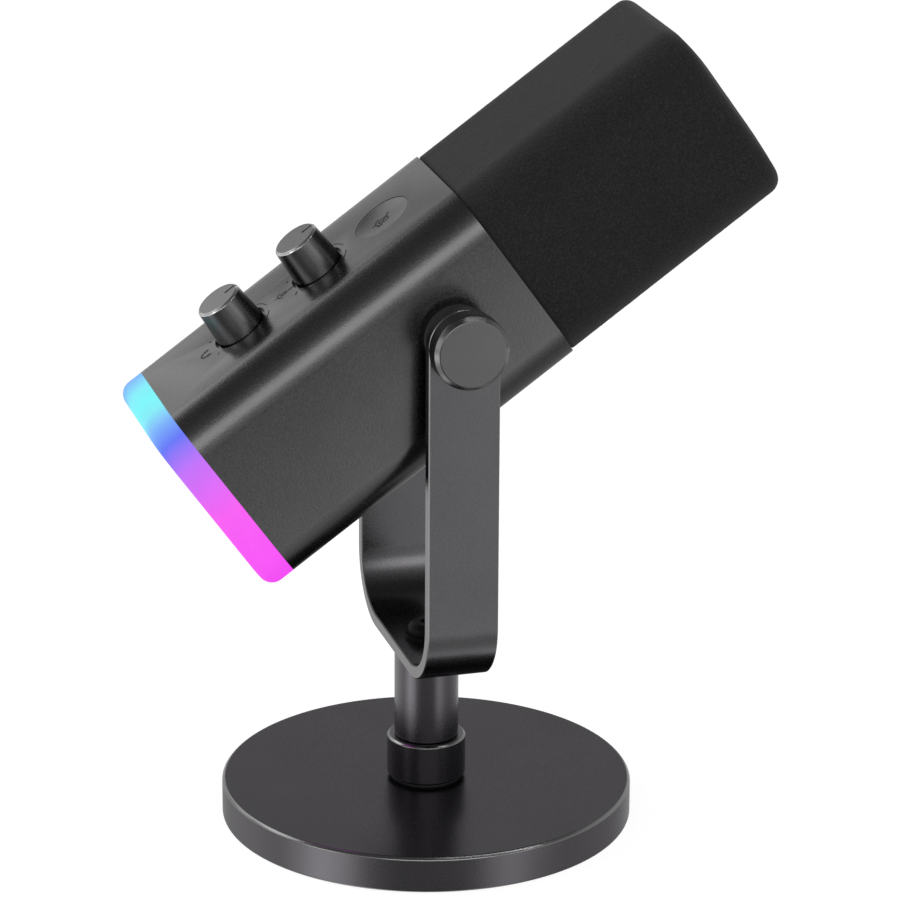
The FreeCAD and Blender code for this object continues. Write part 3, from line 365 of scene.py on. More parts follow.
def crown_over(rise):
    """Raises the picked end face into a shallow dome about the barrel's axis."""
    steps = CROWN_STEPS
    for step in range(steps):
        here, there = 1 - step / steps, 1 - (step + 1) / (steps + 0.2)
        extrude_faces(x=rise * (here ** 2 - there ** 2))
        narrower = there / (1 - step / (steps + 0.2))
        bpy.ops.transform.resize(value=(1, narrower, narrower), center_override=(0, 0, 0))


# ---------------- material helpers
def screen_colour(red, green, blue):
    """A colour given as it shows on a screen, from 0 to 255, as the shader's own numbers."""
    def linear(value):
        value = value / 255
        return value / 12.92 if value <= 0.04045 else ((value + 0.055) / 1.055) ** 2.4
    return (linear(red), linear(green), linear(blue), 1)


def grey(value, warm=0.0):
    return (value * (1 + warm), value, value * (1 - warm * 0.5), 1)


def violet_grey(value, tint):
    """A grey that leans a little to violet."""
    return (value * (1 + tint / 2), value * (1 - tint / 2), value * (1 + tint), 1)


class NodeTree:
    """The node tree of a material or of the world, built from plain steps."""

    def __init__(self, owner):
        owner.use_nodes = True
        self.tree = owner.node_tree

    def node(self, kind, **settings):
        made = self.tree.nodes.new(kind)
        for name, value in settings.items():
            setattr(made, name, value)
        return made

    def join(self, source, target):
        self.tree.links.new(source, target)

    def ramp(self, source, stops, flow="LINEAR"):
        """Colours along a pattern; stops are (position, colour)."""
        ramp = self.node("ShaderNodeValToRGB")
        ramp.color_ramp.interpolation = flow
        elements = ramp.color_ramp.elements
        while len(elements) < len(stops):
            elements.new(0.5)
        for element, (position, colour) in zip(elements, stops):
            element.position = position
            element.color = colour
        self.join(source, ramp.inputs["Fac"])
        return ramp.outputs["Color"]

    def spread(self, source, low, high, start=0.3, finish=0.7):
        """A value that goes from low to high while its source goes from start to finish."""
        spread = self.node("ShaderNodeMapRange")
        spread.inputs["From Min"].default_value = start
        spread.inputs["From Max"].default_value = finish
        spread.inputs["To Min"].default_value = low
        spread.inputs["To Max"].default_value = high
        self.join(source, spread.inputs["Value"])
        return spread.outputs["Result"]


class Finish(NodeTree):
    """A material whose colour, roughness and bump come from patterns in the piece."""

    def __init__(self, name, roughness=0.5, metallic=0.0, ior=1.5, head=False, **sockets):
        self.material = bpy.data.materials.new(name)
        super().__init__(self.material)
        self.shader = self.tree.nodes["Principled BSDF"]
        self.shader.inputs["Roughness"].default_value = roughness
        self.shader.inputs["Metallic"].default_value = metallic
        self.shader.inputs["IOR"].default_value = ior
        for socket, value in sockets.items():
            self.shader.inputs[socket.replace("_", " ").title()].default_value = value
        self.place = self.node("ShaderNodeTexCoord").outputs["Object"]
        if head:
            self.turn_with_head()

    def turn_with_head(self):
        """Lays the pattern along the barrel instead of along the table."""
        mapping = self.node("ShaderNodeMapping")
        mapping.inputs["Location"].default_value = LEVEL.to_translation()
        mapping.inputs["Rotation"].default_value = (0, TILT, 0)
        self.join(self.place, mapping.inputs["Vector"])
        self.place = mapping.outputs["Vector"]

    def stretch(self, x, y, z):
        mapping = self.node("ShaderNodeMapping")
        mapping.inputs["Scale"].default_value = (x, y, z)
        self.join(self.place, mapping.inputs["Vector"])
        return mapping.outputs["Vector"]

    def noise(self, size, detail=2.0, place=None, roughness=0.5):
        """A mottled pattern whose patches are about one size across, in metres."""
        pattern = self.node("ShaderNodeTexNoise")
        pattern.inputs["Scale"].default_value = 1 / size
        pattern.inputs["Detail"].default_value = detail
        pattern.inputs["Roughness"].default_value = roughness
        self.join(place or self.place, pattern.inputs["Vector"])
        return pattern.outputs["Fac"]

    def cells(self, size):
        pattern = self.node("ShaderNodeTexVoronoi")
        pattern.inputs["Scale"].default_value = 1 / size
        self.join(self.place, pattern.inputs["Vector"])
        return pattern.outputs["Distance"]

    def multiply(self, first, second):
        """One colour darkened by another."""
        mix = self.node("ShaderNodeMix", data_type="RGBA", blend_type="MULTIPLY")
        mix.inputs["Factor"].default_value = 1.0
        self.join(first, mix.inputs["A"])
        self.join(second, mix.inputs["B"])
        return mix.outputs["Result"]

    def colour(self, source):
        self.join(source, self.shader.inputs["Base Color"])

    def rough(self, source):
        self.join(source, self.shader.inputs["Roughness"])

    def bump(self, source, height, strength=1.0):
        bump = self.node("ShaderNodeBump")
        bump.inputs["Strength"].default_value = strength
        bump.inputs["Distance"].default_value = height
        self.join(source, bump.inputs["Height"])
        if self.shader.inputs["Normal"].is_linked:
            earlier = self.shader.inputs["Normal"].links[0].from_socket
            self.join(earlier, bump.inputs["Normal"])
        self.join(bump.outputs["Normal"], self.shader.inputs["Normal"])

    def crown_faces(self, rise):
        """Lets the light see the barrel's flat faces as very slightly crowned."""
        across = self.node("ShaderNodeVectorMath", operation="MULTIPLY")
        across.inputs[1].default_value = (0, 1, 1)
        self.join(self.place, across.inputs[0])
        square = self.node("ShaderNodeVectorMath", operation="DOT_PRODUCT")
        self.join(across.outputs["Vector"], square.inputs[0])
        self.join(across.outputs["Vector"], square.inputs[1])
        flat = SHELL_HALF - SHELL_CORNER
        self.bump(square.outputs["Value"], -rise / flat ** 2)


def speckled_paint(name, tone, roughness, depth, grain=0.4 * MM, head=False,
                   contrast=0.07, edge=1.0, tint=0.0, crown=0.0):
    """Satin powder paint with fine metal flake: speckled in tone, gloss and height."""
    paint = Finish(name, metallic=1.0, head=head, specular_tint=(edge, edge, edge, 1))
    if crown:
        paint.crown_faces(crown)
    fine = paint.noise(grain, detail=2.0)
    broad = paint.noise(14 * MM, detail=3.0)
    speckle = paint.ramp(fine, [(0.3, violet_grey(tone * (1 - contrast), tint)),
                                (0.5, violet_grey(tone, tint)),
                                (0.72, violet_grey(tone * (1 + contrast * 1.5), tint))])
    cloud = paint.ramp(broad, [(0.3, grey(0.92)), (0.7, grey(1.0))])
    paint.colour(paint.multiply(speckle, cloud))
    paint.rough(paint.spread(fine, roughness * 0.86, roughness * 1.14))
    paint.bump(fine, depth)
    return paint.material


def moulded_plastic(name, tone, roughness, head=True):
    """Moulded plastic with a fine spark-eroded grain."""
    plastic = Finish(name, head=head)
    fine = plastic.noise(0.25 * MM, detail=3.0)
    broad = plastic.noise(9 * MM, detail=2.0)
    plastic.colour(plastic.ramp(broad, [(0.3, grey(tone * 0.88)), (0.7, grey(tone * 1.1))]))
    plastic.rough(plastic.spread(fine, roughness * 0.9, roughness * 1.1))
    plastic.bump(fine, 0.004 * MM)
    return plastic.material


def machined_metal(name, low, high, roughness=0.3, stretch=(1, 1, 12)):
    """Bright metal with the fine lines that cutting leaves."""
    metal = Finish(name, metallic=1.0)
    lines = metal.noise(0.35 * MM, detail=4.0, place=metal.stretch(*stretch))
    metal.colour(metal.ramp(lines, [(0.3, low), (0.7, high)]))
    metal.rough(metal.spread(lines, roughness * 0.8, roughness * 1.2))
    metal.bump(lines, 0.003 * MM, strength=0.5)
    return metal.material


# ---------------- finishes
def foam_finish():
    """Open-cell foam: near black, furry, with fine pits."""
    foam = Finish("windscreen_open_foam", roughness=0.95, ior=1.3, head=True,
                  sheen_weight=0.13, sheen_roughness=0.6)
    fine = foam.noise(0.4 * MM, detail=4.0, roughness=0.65)
    pits = foam.cells(0.5 * MM)
    broad = foam.noise(18 * MM, detail=2.0)
    strands = foam.ramp(fine, [(0.3, grey(0.004)), (0.52, grey(0.0145)), (0.75, grey(0.039))])
    cloud = foam.ramp(broad, [(0.3, grey(0.85)), (0.7, grey(1.0))])
    foam.colour(foam.multiply(strands, cloud))
    foam.bump(pits, 0.12 * MM, strength=0.5)
    foam.bump(fine, 0.12 * MM, strength=0.6)
    return foam.material


def glow_finish():
    """Milky light pipe: the lamps behind it run from cyan at the top to magenta below."""
    glow = Finish("glow_ring_diffuser", roughness=0.6, ior=1.2, head=True,
                  emission_strength=0.96)
    parts = glow.node("ShaderNodeSeparateXYZ")
    glow.join(glow.place, parts.inputs["Vector"])
    angle = glow.node("ShaderNodeMath", operation="ARCTAN2")
    glow.join(parts.outputs["Y"], angle.inputs[0])
    glow.join(parts.outputs["Z"], angle.inputs[1])
    one_side = glow.node("ShaderNodeMath", operation="ABSOLUTE")
    glow.join(angle.outputs["Value"], one_side.inputs[0])
    turn = glow.spread(one_side.outputs["Value"], 0, 1, start=0, finish=math.pi)
    colours = glow.ramp(turn, [
        (0.0, screen_colour(118, 250, 253)),
        (0.1, screen_colour(128, 240, 253)),
        (0.167, screen_colour(126, 196, 253)),
        (0.25, screen_colour(98, 118, 255)),
        (0.33, screen_colour(200, 110, 254)),
        (0.5, screen_colour(254, 92, 250)),
        (0.7, screen_colour(252, 76, 252)),
        (1.0, screen_colour(246, 50, 248)),
    ])
    haze = glow.ramp(glow.noise(6 * MM, detail=1.0), [(0.2, grey(0.94)), (0.8, grey(1.0))])
    shine = glow.multiply(colours, haze)
    glow.join(shine, glow.shader.inputs["Emission Color"])
    glow.colour(glow.ramp(glow.noise(0.4 * MM), [(0.3, grey(0.03)), (0.7, grey(0.05))]))
    return glow.material


def print_finish():
    ink = Finish("printed_ink", roughness=0.6, ior=1.4, head=True)
    ink.colour(ink.ramp(ink.noise(0.2 * MM), [(0.3, grey(0.008)), (0.7, grey(0.016))]))
    return ink.material


def board_finish():
    """Solder mask over copper tracks."""
    board = Finish("circuit_board_mask", roughness=0.35, head=True)
    weave = board.node("ShaderNodeTexBrick")
    weave.inputs["Scale"].default_value = 1 / (2.4 * MM)
    weave.inputs["Color1"].default_value = (0.012, 0.09, 0.04, 1)
    weave.inputs["Color2"].default_value = (0.016, 0.11, 0.05, 1)
    weave.inputs["Mortar"].default_value = (0.02, 0.16, 0.075, 1)
    board.join(board.place, weave.inputs["Vector"])
    board.colour(weave.outputs["Color"])
    board.bump(board.noise(0.3 * MM), 0.003 * MM)
    return board.material


def lamp_finish():
    lamp = Finish("lamp_epoxy_lens", roughness=0.2, head=True)
    lamp.colour(lamp.ramp(lamp.noise(1 * MM), [(0.3, (0.6, 0.6, 0.52, 1)), (0.7, grey(0.8))]))
    return lamp.material


FINISHES = {
    "base_paint": speckled_paint("base_satin_paint", tone=0.09, roughness=0.26,
                                 depth=0.006 * MM, edge=0.66, tint=0.06),
    "yoke_paint": speckled_paint("yoke_satin_paint", tone=0.125, roughness=0.26,
                                 depth=0.008 * MM, tint=0.03),
    "satin_black_metal": speckled_paint("stand_satin_paint", tone=0.09, roughness=0.25,
                                        depth=0.008 * MM, tint=0.06),
    "shell_paint": speckled_paint("barrel_satin_paint", tone=0.1, roughness=0.25,
                                  grain=0.45 * MM, depth=0.017 * MM, head=True, crown=0.3 * MM),
    "knob_metal": speckled_paint("dial_anodised", tone=0.125, roughness=0.26, grain=0.25 * MM,
                                 depth=0.003 * MM, contrast=0.05, head=True),
    "soft_rubber": moulded_plastic("soft_black_rubber", 0.03, roughness=0.8, head=False),
    "black_nylon": moulded_plastic("black_nylon_washer", 0.012, roughness=0.5, head=False),
    "black_plastic": moulded_plastic("black_moulded_plastic", 0.028, roughness=0.45),
    "touch_plastic": speckled_paint("mute_button_satin", tone=0.115, roughness=0.28,
                                    depth=0.005 * MM, head=True),
    "grille_plastic": moulded_plastic("grille_moulded_plastic", 0.02, roughness=0.5),
    "milky_diffuser": glow_finish(),
    "circuit_board": board_finish(),
    "lamp_epoxy": lamp_finish(),
    "chip_epoxy": moulded_plastic("chip_moulding", 0.016, roughness=0.55),
    "zinc_steel": machined_metal("zinc_plated_steel", grey(0.5), grey(0.68)),
    "black_steel": machined_metal("blackened_steel", grey(0.01), grey(0.018), roughness=0.6),
    "nickel_shell": machined_metal("nickel_plate", grey(0.5, 0.03), grey(0.66, 0.03), 0.22),
    "turned_brass": machined_metal("turned_brass", (0.62, 0.43, 0.16, 1), (0.8, 0.6, 0.28, 1)),
    "cast_alloy": machined_metal("cast_alloy", grey(0.36), grey(0.52), 0.42, (1, 1, 1)),
    "windscreen_foam": foam_finish(),
}
THUMB_FINISH = speckled_paint("thumb_screw_paint", tone=0.13, roughness=0.24, depth=0.006 * MM)
# Painted shade: a darker copy of the paint for the side bands of the thumb screws, the strap's round ends and its
# inner chamfers, where shade falls.
SHADE_BAND_FINISH = speckled_paint("edge_band_paint", tone=0.045, roughness=0.32, depth=0.005 * MM)
# Painted highlight: a brighter copy of the paint on the broken edges, standing in for the glints they catch.
PAINTED_HIGHLIGHT_FINISH = speckled_paint("bright_edge_paint", tone=0.22, roughness=0.2,
                               depth=0.004 * MM, contrast=0.04)
# The bare metal that the cutter leaves round the top of each dial.
CUT_EDGE_FINISH = machined_metal("cut_dial_edge", grey(0.5), grey(0.62), roughness=0.14)
INK = print_finish()


def dress(piece, body, slot, replaced=(), finish=None):
    """Gives a finished piece its finish, its body, and the nodes that it stands for."""
    piece.data.materials.clear()
    piece.data.materials.append(finish or FINISHES[slot])
    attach(piece, body)
    if replaced:
        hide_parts(*replaced)


def paint_nodes():
    """Every node that keeps its own shape gets the finish of its material slot."""
    for subpart in frame["record"]["subparts"]:
        node = NODES[subpart["node"]]
        node.data.materials.clear()
        node.data.materials.append(FINISHES[subpart["material_slot"]])


def paint_faces(piece, finish, test):
    """Gives a second finish to the faces that pass the test."""
    piece.data.materials.append(finish)
    last = len(piece.data.materials) - 1
    for face in piece.data.polygons:
        if test(face.center, face.normal):
            face.material_index = last


def aslant(share):
    """Whether a normal's share along an axis is that of a chamfer's face."""
    return 0.25 < abs(share) < 0.95


def level_with(share):
    """Whether a normal's share along an axis is next to nothing."""
    return abs(share) < 0.2


# ---------------- stand
def base_disc():
    """The weighted foot, hollow below for its rubber pad and the stud's head."""
    radius = PLATE_HIGH.x
    head_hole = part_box("base_stud")[1].x + LOOSE_GAP
    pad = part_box("base_pad")[1]
    low_edge = BASE_EDGE / 2
    disc = turned("base_disc", [
        (STUD_BORE, PLATE_HIGH.z),
        (radius - BASE_EDGE, PLATE_HIGH.z),
        (radius, PLATE_HIGH.z - BASE_EDGE),
        (radius, PLATE_LOW.z + low_edge),
        (radius - low_edge, PLATE_LOW.z),
        (pad.x + FIT_GAP, PLATE_LOW.z),
        (pad.x + FIT_GAP, pad.z),
        (head_hole, pad.z),
        (head_hole, STUD_HEAD_TOP),
        (STUD_BORE, STUD_HEAD_TOP),
    ], steps=DISC_STEPS, hollow=True)
    soften(disc)
    dress(disc, "base", "base_paint", ["base_plate"])
    # Painted highlight: the brighter paint on the rim's chamfers.
    paint_faces(disc, PAINTED_HIGHLIGHT_FINISH, lambda place, normal: (
        aslant(normal.z) and place.xy.length > radius - RIM_REACH * BASE_EDGE))


def locking_collar():
    """The threaded ring that locks the post, with its thin chamfers."""
    radius = COLLAR_HIGH.x
    collar = turned("locking_collar", [
        (STUD_BORE, COLLAR_LOW.z),
        (radius - COLLAR_EDGE, COLLAR_LOW.z),
        (radius, COLLAR_LOW.z + COLLAR_EDGE),
        (radius, COLLAR_HIGH.z - COLLAR_EDGE),
        (radius - COLLAR_EDGE, COLLAR_HIGH.z),
        (STUD_BORE, COLLAR_HIGH.z),
    ], hollow=True)
    soften(collar, COLLAR_SOFT)
    dress(collar, "collar", "satin_black_metal", ["lock_collar"])
    # Painted highlight on the top chamfer.
    paint_faces(collar, PAINTED_HIGHLIGHT_FINISH, lambda place, normal: aslant(normal.z) and normal.z > 0)


def post_tube():
    """The short post: bored from below for the stud and from above for the yoke's screw."""
    radius = POST_HIGH.x
    stud_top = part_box("base_stud")[1].z
    screw_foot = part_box("yoke_screw")[0].z
    screw_bore = YOKE_SCREW_RADIUS + STUD_GAP
    post = turned("post_tube", [
        (STUD_BORE, stud_top + FIT_GAP),
        (STUD_BORE, POST_LOW.z),
        (radius, POST_LOW.z),
        (radius, POST_HIGH.z),
        (screw_bore, POST_HIGH.z),
        (screw_bore, screw_foot - FIT_GAP),
    ])
    soften(post)
    dress(post, "yoke", "satin_black_metal", ["stand_post"])


def yoke_strap():
    """The U of flat strap: bent round at the foot, with round ends at the pivot."""
    half_width = YOKE_HIGH.x
    arm = YOKE_HIGH.y
    bend_centre = arm - YOKE_BEND
    bend_top = YOKE_LOW.z + YOKE_BEND
    strap = add_piece("yoke_strap", bpy.ops.mesh.primitive_plane_add, size=2 * half_width,
                      rotation=(math.pi / 2, 0, 0),
                      location=(0, -arm, YOKE_HIGH.z - half_width))
    with editing(strap):
        pick(strap, "verts", lambda place: place.z < PIVOT.z - half_width / 2)
        bpy.ops.transform.translate(value=(0, 0, bend_top - (YOKE_HIGH.z - 2 * half_width)))
        pick(strap, "edges", lambda place, edge: place.z < bend_top + STRAP_THICKNESS / 2)
        spin_edges(math.pi / 2, (1, 0, 0), (0, -bend_centre, bend_top), BEND_STEPS)
        pick(strap, "edges", lambda place, edge: place.y > -bend_centre - SAME_PLACE)
        extrude_edges(y=2 * bend_centre)
        spin_edges(math.pi / 2, (1, 0, 0), (0, bend_centre, bend_top), BEND_STEPS)
        pick(strap, "edges", lambda place, edge: place.y > arm - SAME_PLACE)
        extrude_edges(z=YOKE_HIGH.z - bend_top)
        bpy.ops.mesh.select_all(action="SELECT")
        merge_and_face_outwards()
        pick(strap, "verts", lambda place: place.z > YOKE_HIGH.z - SAME_PLACE)
        bpy.ops.mesh.bevel(offset=half_width, offset_type="OFFSET", segments=END_STEPS,
                           affect="VERTICES")
    apply_modifier(strap, "SOLIDIFY", thickness=STRAP_THICKNESS, offset=-1,
                   use_even_offset=True)
    tidy_faces(strap)
    pivot_drill = round_rod("pivot_drill", PIVOT_SCREW_BORE, -arm - MM, arm + MM)
    move_mesh(pivot_drill, Matrix.Translation((0, 0, PIVOT.z)) @ ACROSS)
    cut_away(strap, pivot_drill)
    cut_away(strap, round_rod("screw_drill", YOKE_SCREW_BORE, YOKE_LOW.z - MM,
                              YOKE_LOW.z + STRAP_THICKNESS + MM))
    soften(strap, STRAP_EDGE, sharp=40, steps=1)
    dress(strap, "yoke", "yoke_paint", ["yoke"])
    # Painted shade on the side faces of the round ends and on the chamfers that face into the U.
    paint_faces(strap, SHADE_BAND_FINISH, lambda place, normal: (
        place.z > PIVOT.z and level_with(normal.y)
        or aslant(normal.x) and normal @ out_of_strap(place) < -0.25))
    # Painted highlight on the chamfers of the round ends.
    paint_faces(strap, PAINTED_HIGHLIGHT_FINISH, lambda place, normal: (
        place.z > PIVOT.z and aslant(normal.y)))


def out_of_strap(place):
    """The way out of the U at a place on the strap."""
    side = math.copysign(1, place.y)
    if place.z > YOKE_LOW.z + YOKE_BEND:
        return Vector((0, side, 0))
    bend_centre = YOKE_HIGH.y - YOKE_BEND
    return Vector((0, side * max(0, abs(place.y) - bend_centre),
                   place.z - YOKE_LOW.z - YOKE_BEND)).normalized()


def thumb_screws():
    """One thumb screw is turned, then copied to the other side of the pivot."""
    low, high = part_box("thumb_knob_left")
    radius = high.x
    grip_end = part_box("pivot_screw_left")[1].y + FIT_GAP
    knob = turned("thumb_screw_left", [
        (PIVOT_SCREW_BORE, grip_end),
        (PIVOT_SCREW_BORE, low.y),
        (radius - THUMB_EDGE / 2, low.y),
        (radius, low.y + THUMB_EDGE / 2),
        (radius, high.y - THUMB_EDGE),
        (radius - THUMB_EDGE, high.y),
    ])
    soften(knob, THUMB_SOFT, sharp=25)
    twin = copy_of(knob, "thumb_screw_right")
    raise_to_pivot = Matrix.Translation((0, 0, PIVOT.z))
    move_mesh(knob, raise_to_pivot @ ACROSS.inverted())
    move_mesh(twin, raise_to_pivot @ ACROSS)
    for piece, side in ((knob, "left"), (twin, "right")):
        dress(piece, "thumb_" + side, "satin_black_metal", ["thumb_knob_" + side],
              THUMB_FINISH)
        # Painted shade on the side band of each thumb screw.
        paint_faces(piece, SHADE_BAND_FINISH, lambda place, normal: level_with(normal.y))


# ---------------- head
def dial_places():
    return [(LEVEL @ Vector(JOINTS[name + "_turn"]["pos_m"])).x for name in ("volume", "gain")]


def mute_place():
    low, high = level_box("mute_pad")
    return (low.x + high.x) / 2


def drill_level(piece, name, radius, start, finish, centre, turn=Matrix(), steps=HOLE_STEPS):
    """Drills a round hole in a level piece of the head, down it or turned another way."""
    drill = round_rod(name, radius, start, finish, steps)
    move_mesh(drill, Matrix.Translation(centre) @ turn)
    cut_away(piece, drill)


def barrel_shell():
    """The square tube of the head, with its recesses, holes and fine broken edges."""
    shell = squared_bar("barrel_shell", 0, SHELL_LOW.x, SHELL_HIGH.x)
    with editing(shell):
        for end in (faces_nose, faces_rear):
            pick(shell, "faces", end)
            bpy.ops.mesh.delete(type="FACE")
    apply_modifier(shell, "SOLIDIFY", thickness=SHELL_WALL, offset=-1, use_even_offset=True)
    tidy_faces(shell)
    top = SHELL_HALF
    dial_radius = level_box("volume_knob")[1].y
    for place in dial_places():
        drill_level(shell, "dial_recess", dial_radius + KNOB_RECESS_GAP,
                    top - KNOB_RECESS_DEPTH, top + MM, (place, 0, 0), steps=WIDE_STEPS)
        drill_level(shell, "bushing_hole", DIAL_BUSH_BORE, top / 2, top + MM, (place, 0, 0))
    drill_level(shell, "pivot_hole", PIVOT_BUSH_BORE, -top - MM, top + MM, (0, 0, 0), ACROSS)
    for x, y in shell_screw_places():
        drill_level(shell, "screw_sink", SHELL_SCREW_SINK, -top - MM, -top + MM, (x, y, 0),
                    steps=SMALL_STEPS)
        drill_level(shell, "screw_hole", SHELL_SCREW_BORE, -top - MM, -top / 2, (x, y, 0),
                    steps=SMALL_STEPS)
    soften(shell, SHELL_SOFT, sharp=36)
    drill_level(shell, "mute_hole", MUTE_RADIUS + MUTE_SEAM, top / 2, top + MM,
                (mute_place(), 0, 0), steps=WIDE_STEPS)
    move_mesh(shell, HEAD)
    dress(shell, "head", "shell_paint", ["head_shell"])


def shell_screw_places():
    """The centres of the four small screws under the head, read from their heads."""
    heads = [LEVEL @ vertex.co for vertex in NODES["shell_screws"].data.vertices]
    lowest = min(point.z for point in heads)
    heads = [point for point in heads if point.z < lowest + SAME_PLACE]
    middle = (min(point.x for point in heads) + max(point.x for point in heads)) / 2
    places = []
    for rear in (True, False):
        for left in (True, False):
            group = [point for point in heads
                     if (point.x < middle) == rear and (point.y > 0) == left]
            xs = [point.x for point in group]
            ys = [point.y for point in group]
            places.append(((min(xs) + max(xs)) / 2, (min(ys) + max(ys)) / 2))
    return places


def glow_ring():
    """The milky ring: rounded over at the rear, with its lip, its wall and its spigot."""
    seam = SHELL_LOW.x
    ring = squared_bar("glow_ring", 0, RING_LOW.x + RING_ROUND, seam)
    spigot_inset = SHELL_WALL + FIT_GAP
    with editing(ring):
        pick(ring, "faces", faces_rear)
        round_over(RING_ROUND)
        pick(ring, "faces", faces_nose)
        bpy.ops.mesh.inset(thickness=spigot_inset)
        extrude_faces(x=RING_HIGH.x - seam)
    cut_away(ring, squared_bar("lip_opening", RING_LIP, RING_LOW.x - MM, PANEL_REAR + MM))
    cut_away(ring, squared_bar("wall_opening", RING_WALL, PANEL_REAR, RING_HIGH.x + MM))
    cut_away(ring, squared_bar("spigot_opening", spigot_inset + SPIGOT_WALL, seam,
                               RING_HIGH.x + MM))
    for x, y in shell_screw_places()[:2]:
        drill_level(ring, "spigot_hole", SHELL_SCREW_BORE, -SHELL_HALF, 0, (x, y, 0),
                    steps=SMALL_STEPS)
    soften(ring, RING_SOFT, sharp=40)
    move_mesh(ring, HEAD)
    dress(ring, "head", "milky_diffuser", ["light_ring"])


def dials():
    """The two knobs on the top face: one is turned and slotted, then copied."""
    low, high = level_box("volume_knob")
    radius = high.y
    shaft_high = level_box("volume_shaft")[1]
    cavity = level_box("volume_nut")[1].y + LOOSE_GAP
    cavity_top = level_box("volume_potentiometer")[1].z + 3 * FIT_GAP
    bore = shaft_high.y + STUD_GAP
    first = turned("volume_dial", [
        (bore, shaft_high.z + FIT_GAP),
        (bore, cavity_top),
        (cavity, cavity_top),
        (cavity, low.z),
        (radius, low.z),
        (KNOB_TOP_RADIUS, high.z - KNOB_EDGE),
        (KNOB_TOP_RADIUS - KNOB_EDGE, high.z),
    ])
    slot = add_piece("pointer_cutter", bpy.ops.mesh.primitive_cube_add, size=1,
                     location=(POINTER_START + radius / 2, 0, high.z),
                     stretch=(radius, POINTER_WIDTH, 2 * POINTER_DEPTH))
    cut_away(first, slot)
    soften(first, DIAL_SOFT, sharp=25)
    second = copy_of(first, "gain_dial")
    for piece, place, name in zip((first, second), dial_places(), ("volume", "gain")):
        move_mesh(piece, HEAD @ Matrix.Translation((place, 0, 0)))
        dress(piece, name + "_dial", "knob_metal", [name + "_knob"])
        top_centre = Vector((place, 0, high.z))
        paint_faces(piece, CUT_EDGE_FINISH, lambda spot, normal: (
            aslant(normal @ TOP_WAY) and (LEVEL @ spot).z > high.z - RIM_DEPTH * KNOB_EDGE
            and (LEVEL @ spot - top_centre).length > KNOB_TOP_RADIUS - RIM_REACH * KNOB_EDGE))


def mute_button():
    """The touch button: a shallow dish in the top face."""
    low, high = level_box("mute_pad")
    flange_top = SHELL_HALF - SHELL_WALL - FIT_GAP / 2
    rim = MUTE_RADIUS - MUTE_RIM
    ball = (rim ** 2 + MUTE_DISH ** 2) / (2 * MUTE_DISH)
    outline = [
        (high.y, low.z),
        (high.y, flange_top),
        (MUTE_RADIUS, flange_top),
        (MUTE_RADIUS, high.z),
    ]
    for step in range(MUTE_DISH_STEPS):
        across = rim * (1 - step / MUTE_DISH_STEPS)
        outline.append((across, high.z - MUTE_DISH + ball - math.sqrt(ball ** 2 - across ** 2)))
    button = turned("mute_button", outline, steps=WIDE_STEPS)
    soften(button, MUTE_SOFT, sharp=30)
    move_mesh(button, HEAD @ Matrix.Translation((mute_place(), 0, 0)))
    dress(button, "head", "touch_plastic", ["mute_pad"])
    return button


def foam_cover():
    """The foam sock: a thick-walled square cap with a crowned nose and an open-cell skin."""
    seat = SHELL_HIGH.x + FOAM_SEAT_GAP
    nose = FOAM_HIGH.x + FOAM_NOSE_LOSS - FOAM_FUZZ - FOAM_CROWN
    foam = squared_bar("foam_cover", 0, seat, nose - FOAM_ROUND,
                       half=FOAM_HIGH.y + FOAM_SIDE_LOSS, corner=FOAM_CORNER)
    grille_front = level_box("grille_panels")[1].x + FOAM_GRILLE_GAP
    with editing(foam):
        pick(foam, "faces", faces_nose)
        round_over(FOAM_ROUND)
        crown_over(FOAM_CROWN)
        pick(foam, "faces", faces_rear)
        bpy.ops.mesh.inset(thickness=FOAM_WALL)
        extrude_faces(x=grille_front - seat)
    tidy_faces(foam)
    apply_modifier(foam, "REMESH", mode="VOXEL", voxel_size=FOAM_CELL, use_smooth_shade=True)
    cells = bpy.data.textures.new("foam_cells", "CLOUDS")
    cells.noise_scale = FOAM_CLOUD
    cells.noise_depth = 2
    apply_modifier(foam, "DISPLACE", texture=cells, texture_coords="LOCAL",
                   strength=2 * FOAM_FUZZ, mid_level=0.5)
    move_mesh(foam, HEAD)
    dress(foam, "windscreen", "windscreen_foam", ["foam_windscreen"])


# ---------------- printed marks
def printed_dot(x, y, radius):
    return add_piece("mark", bpy.ops.mesh.primitive_circle_add, vertices=20, radius=radius,
                     fill_type="NGON", location=(x, y, SHELL_HALF))


def printed_dash(x, y, length, width, turn=0.0):
    return add_piece("mark", bpy.ops.mesh.primitive_plane_add, size=1,
                     location=(x, y, SHELL_HALF), rotation=(0, 0, turn),
                     stretch=(length, width, 1))


def printed_arc(x, y, radius, width, start, finish):
    """An arc of a printed ring about a centre, its angles in degrees from the barrel's axis."""
    strip = add_piece("mark", bpy.ops.mesh.primitive_plane_add, size=width,
                      location=(x + radius, y, SHELL_HALF))
    with editing(strip):
        pick(strip, "verts", lambda place: place.y > y)
        bpy.ops.mesh.delete(type="VERT")
        bpy.ops.mesh.select_all(action="SELECT")
        bpy.ops.transform.translate(value=(0, width / 2, 0))
        spin_edges(math.radians(finish - start), (0, 0, 1), (x, y, SHELL_HALF), ARC_STEPS)
    centre = Matrix.Translation((x, y, 0))
    move_mesh(strip, centre @ Matrix.Rotation(math.radians(start), 4, "Z") @ centre.inverted())
    return strip


def capsule_sign(x, half, radius, width):
    """A closed capsule outline along the barrel, with a bow round its rear and a stem."""
    stand = radius + 0.9 * MM
    return [
        printed_arc(x + half - radius, 0, radius, width, -90, 90),
        printed_arc(x - half + radius, 0, radius, width, 90, 270),
        printed_dash(x, radius, 2 * (half - radius) + width / 2, width),
        printed_dash(x, -radius, 2 * (half - radius) + width / 2, width),
        printed_arc(x - half + radius, 0, stand, width, 105, 255),
        printed_dash(x - half + radius - stand - 0.5 * MM, 0, MM, width),
    ]


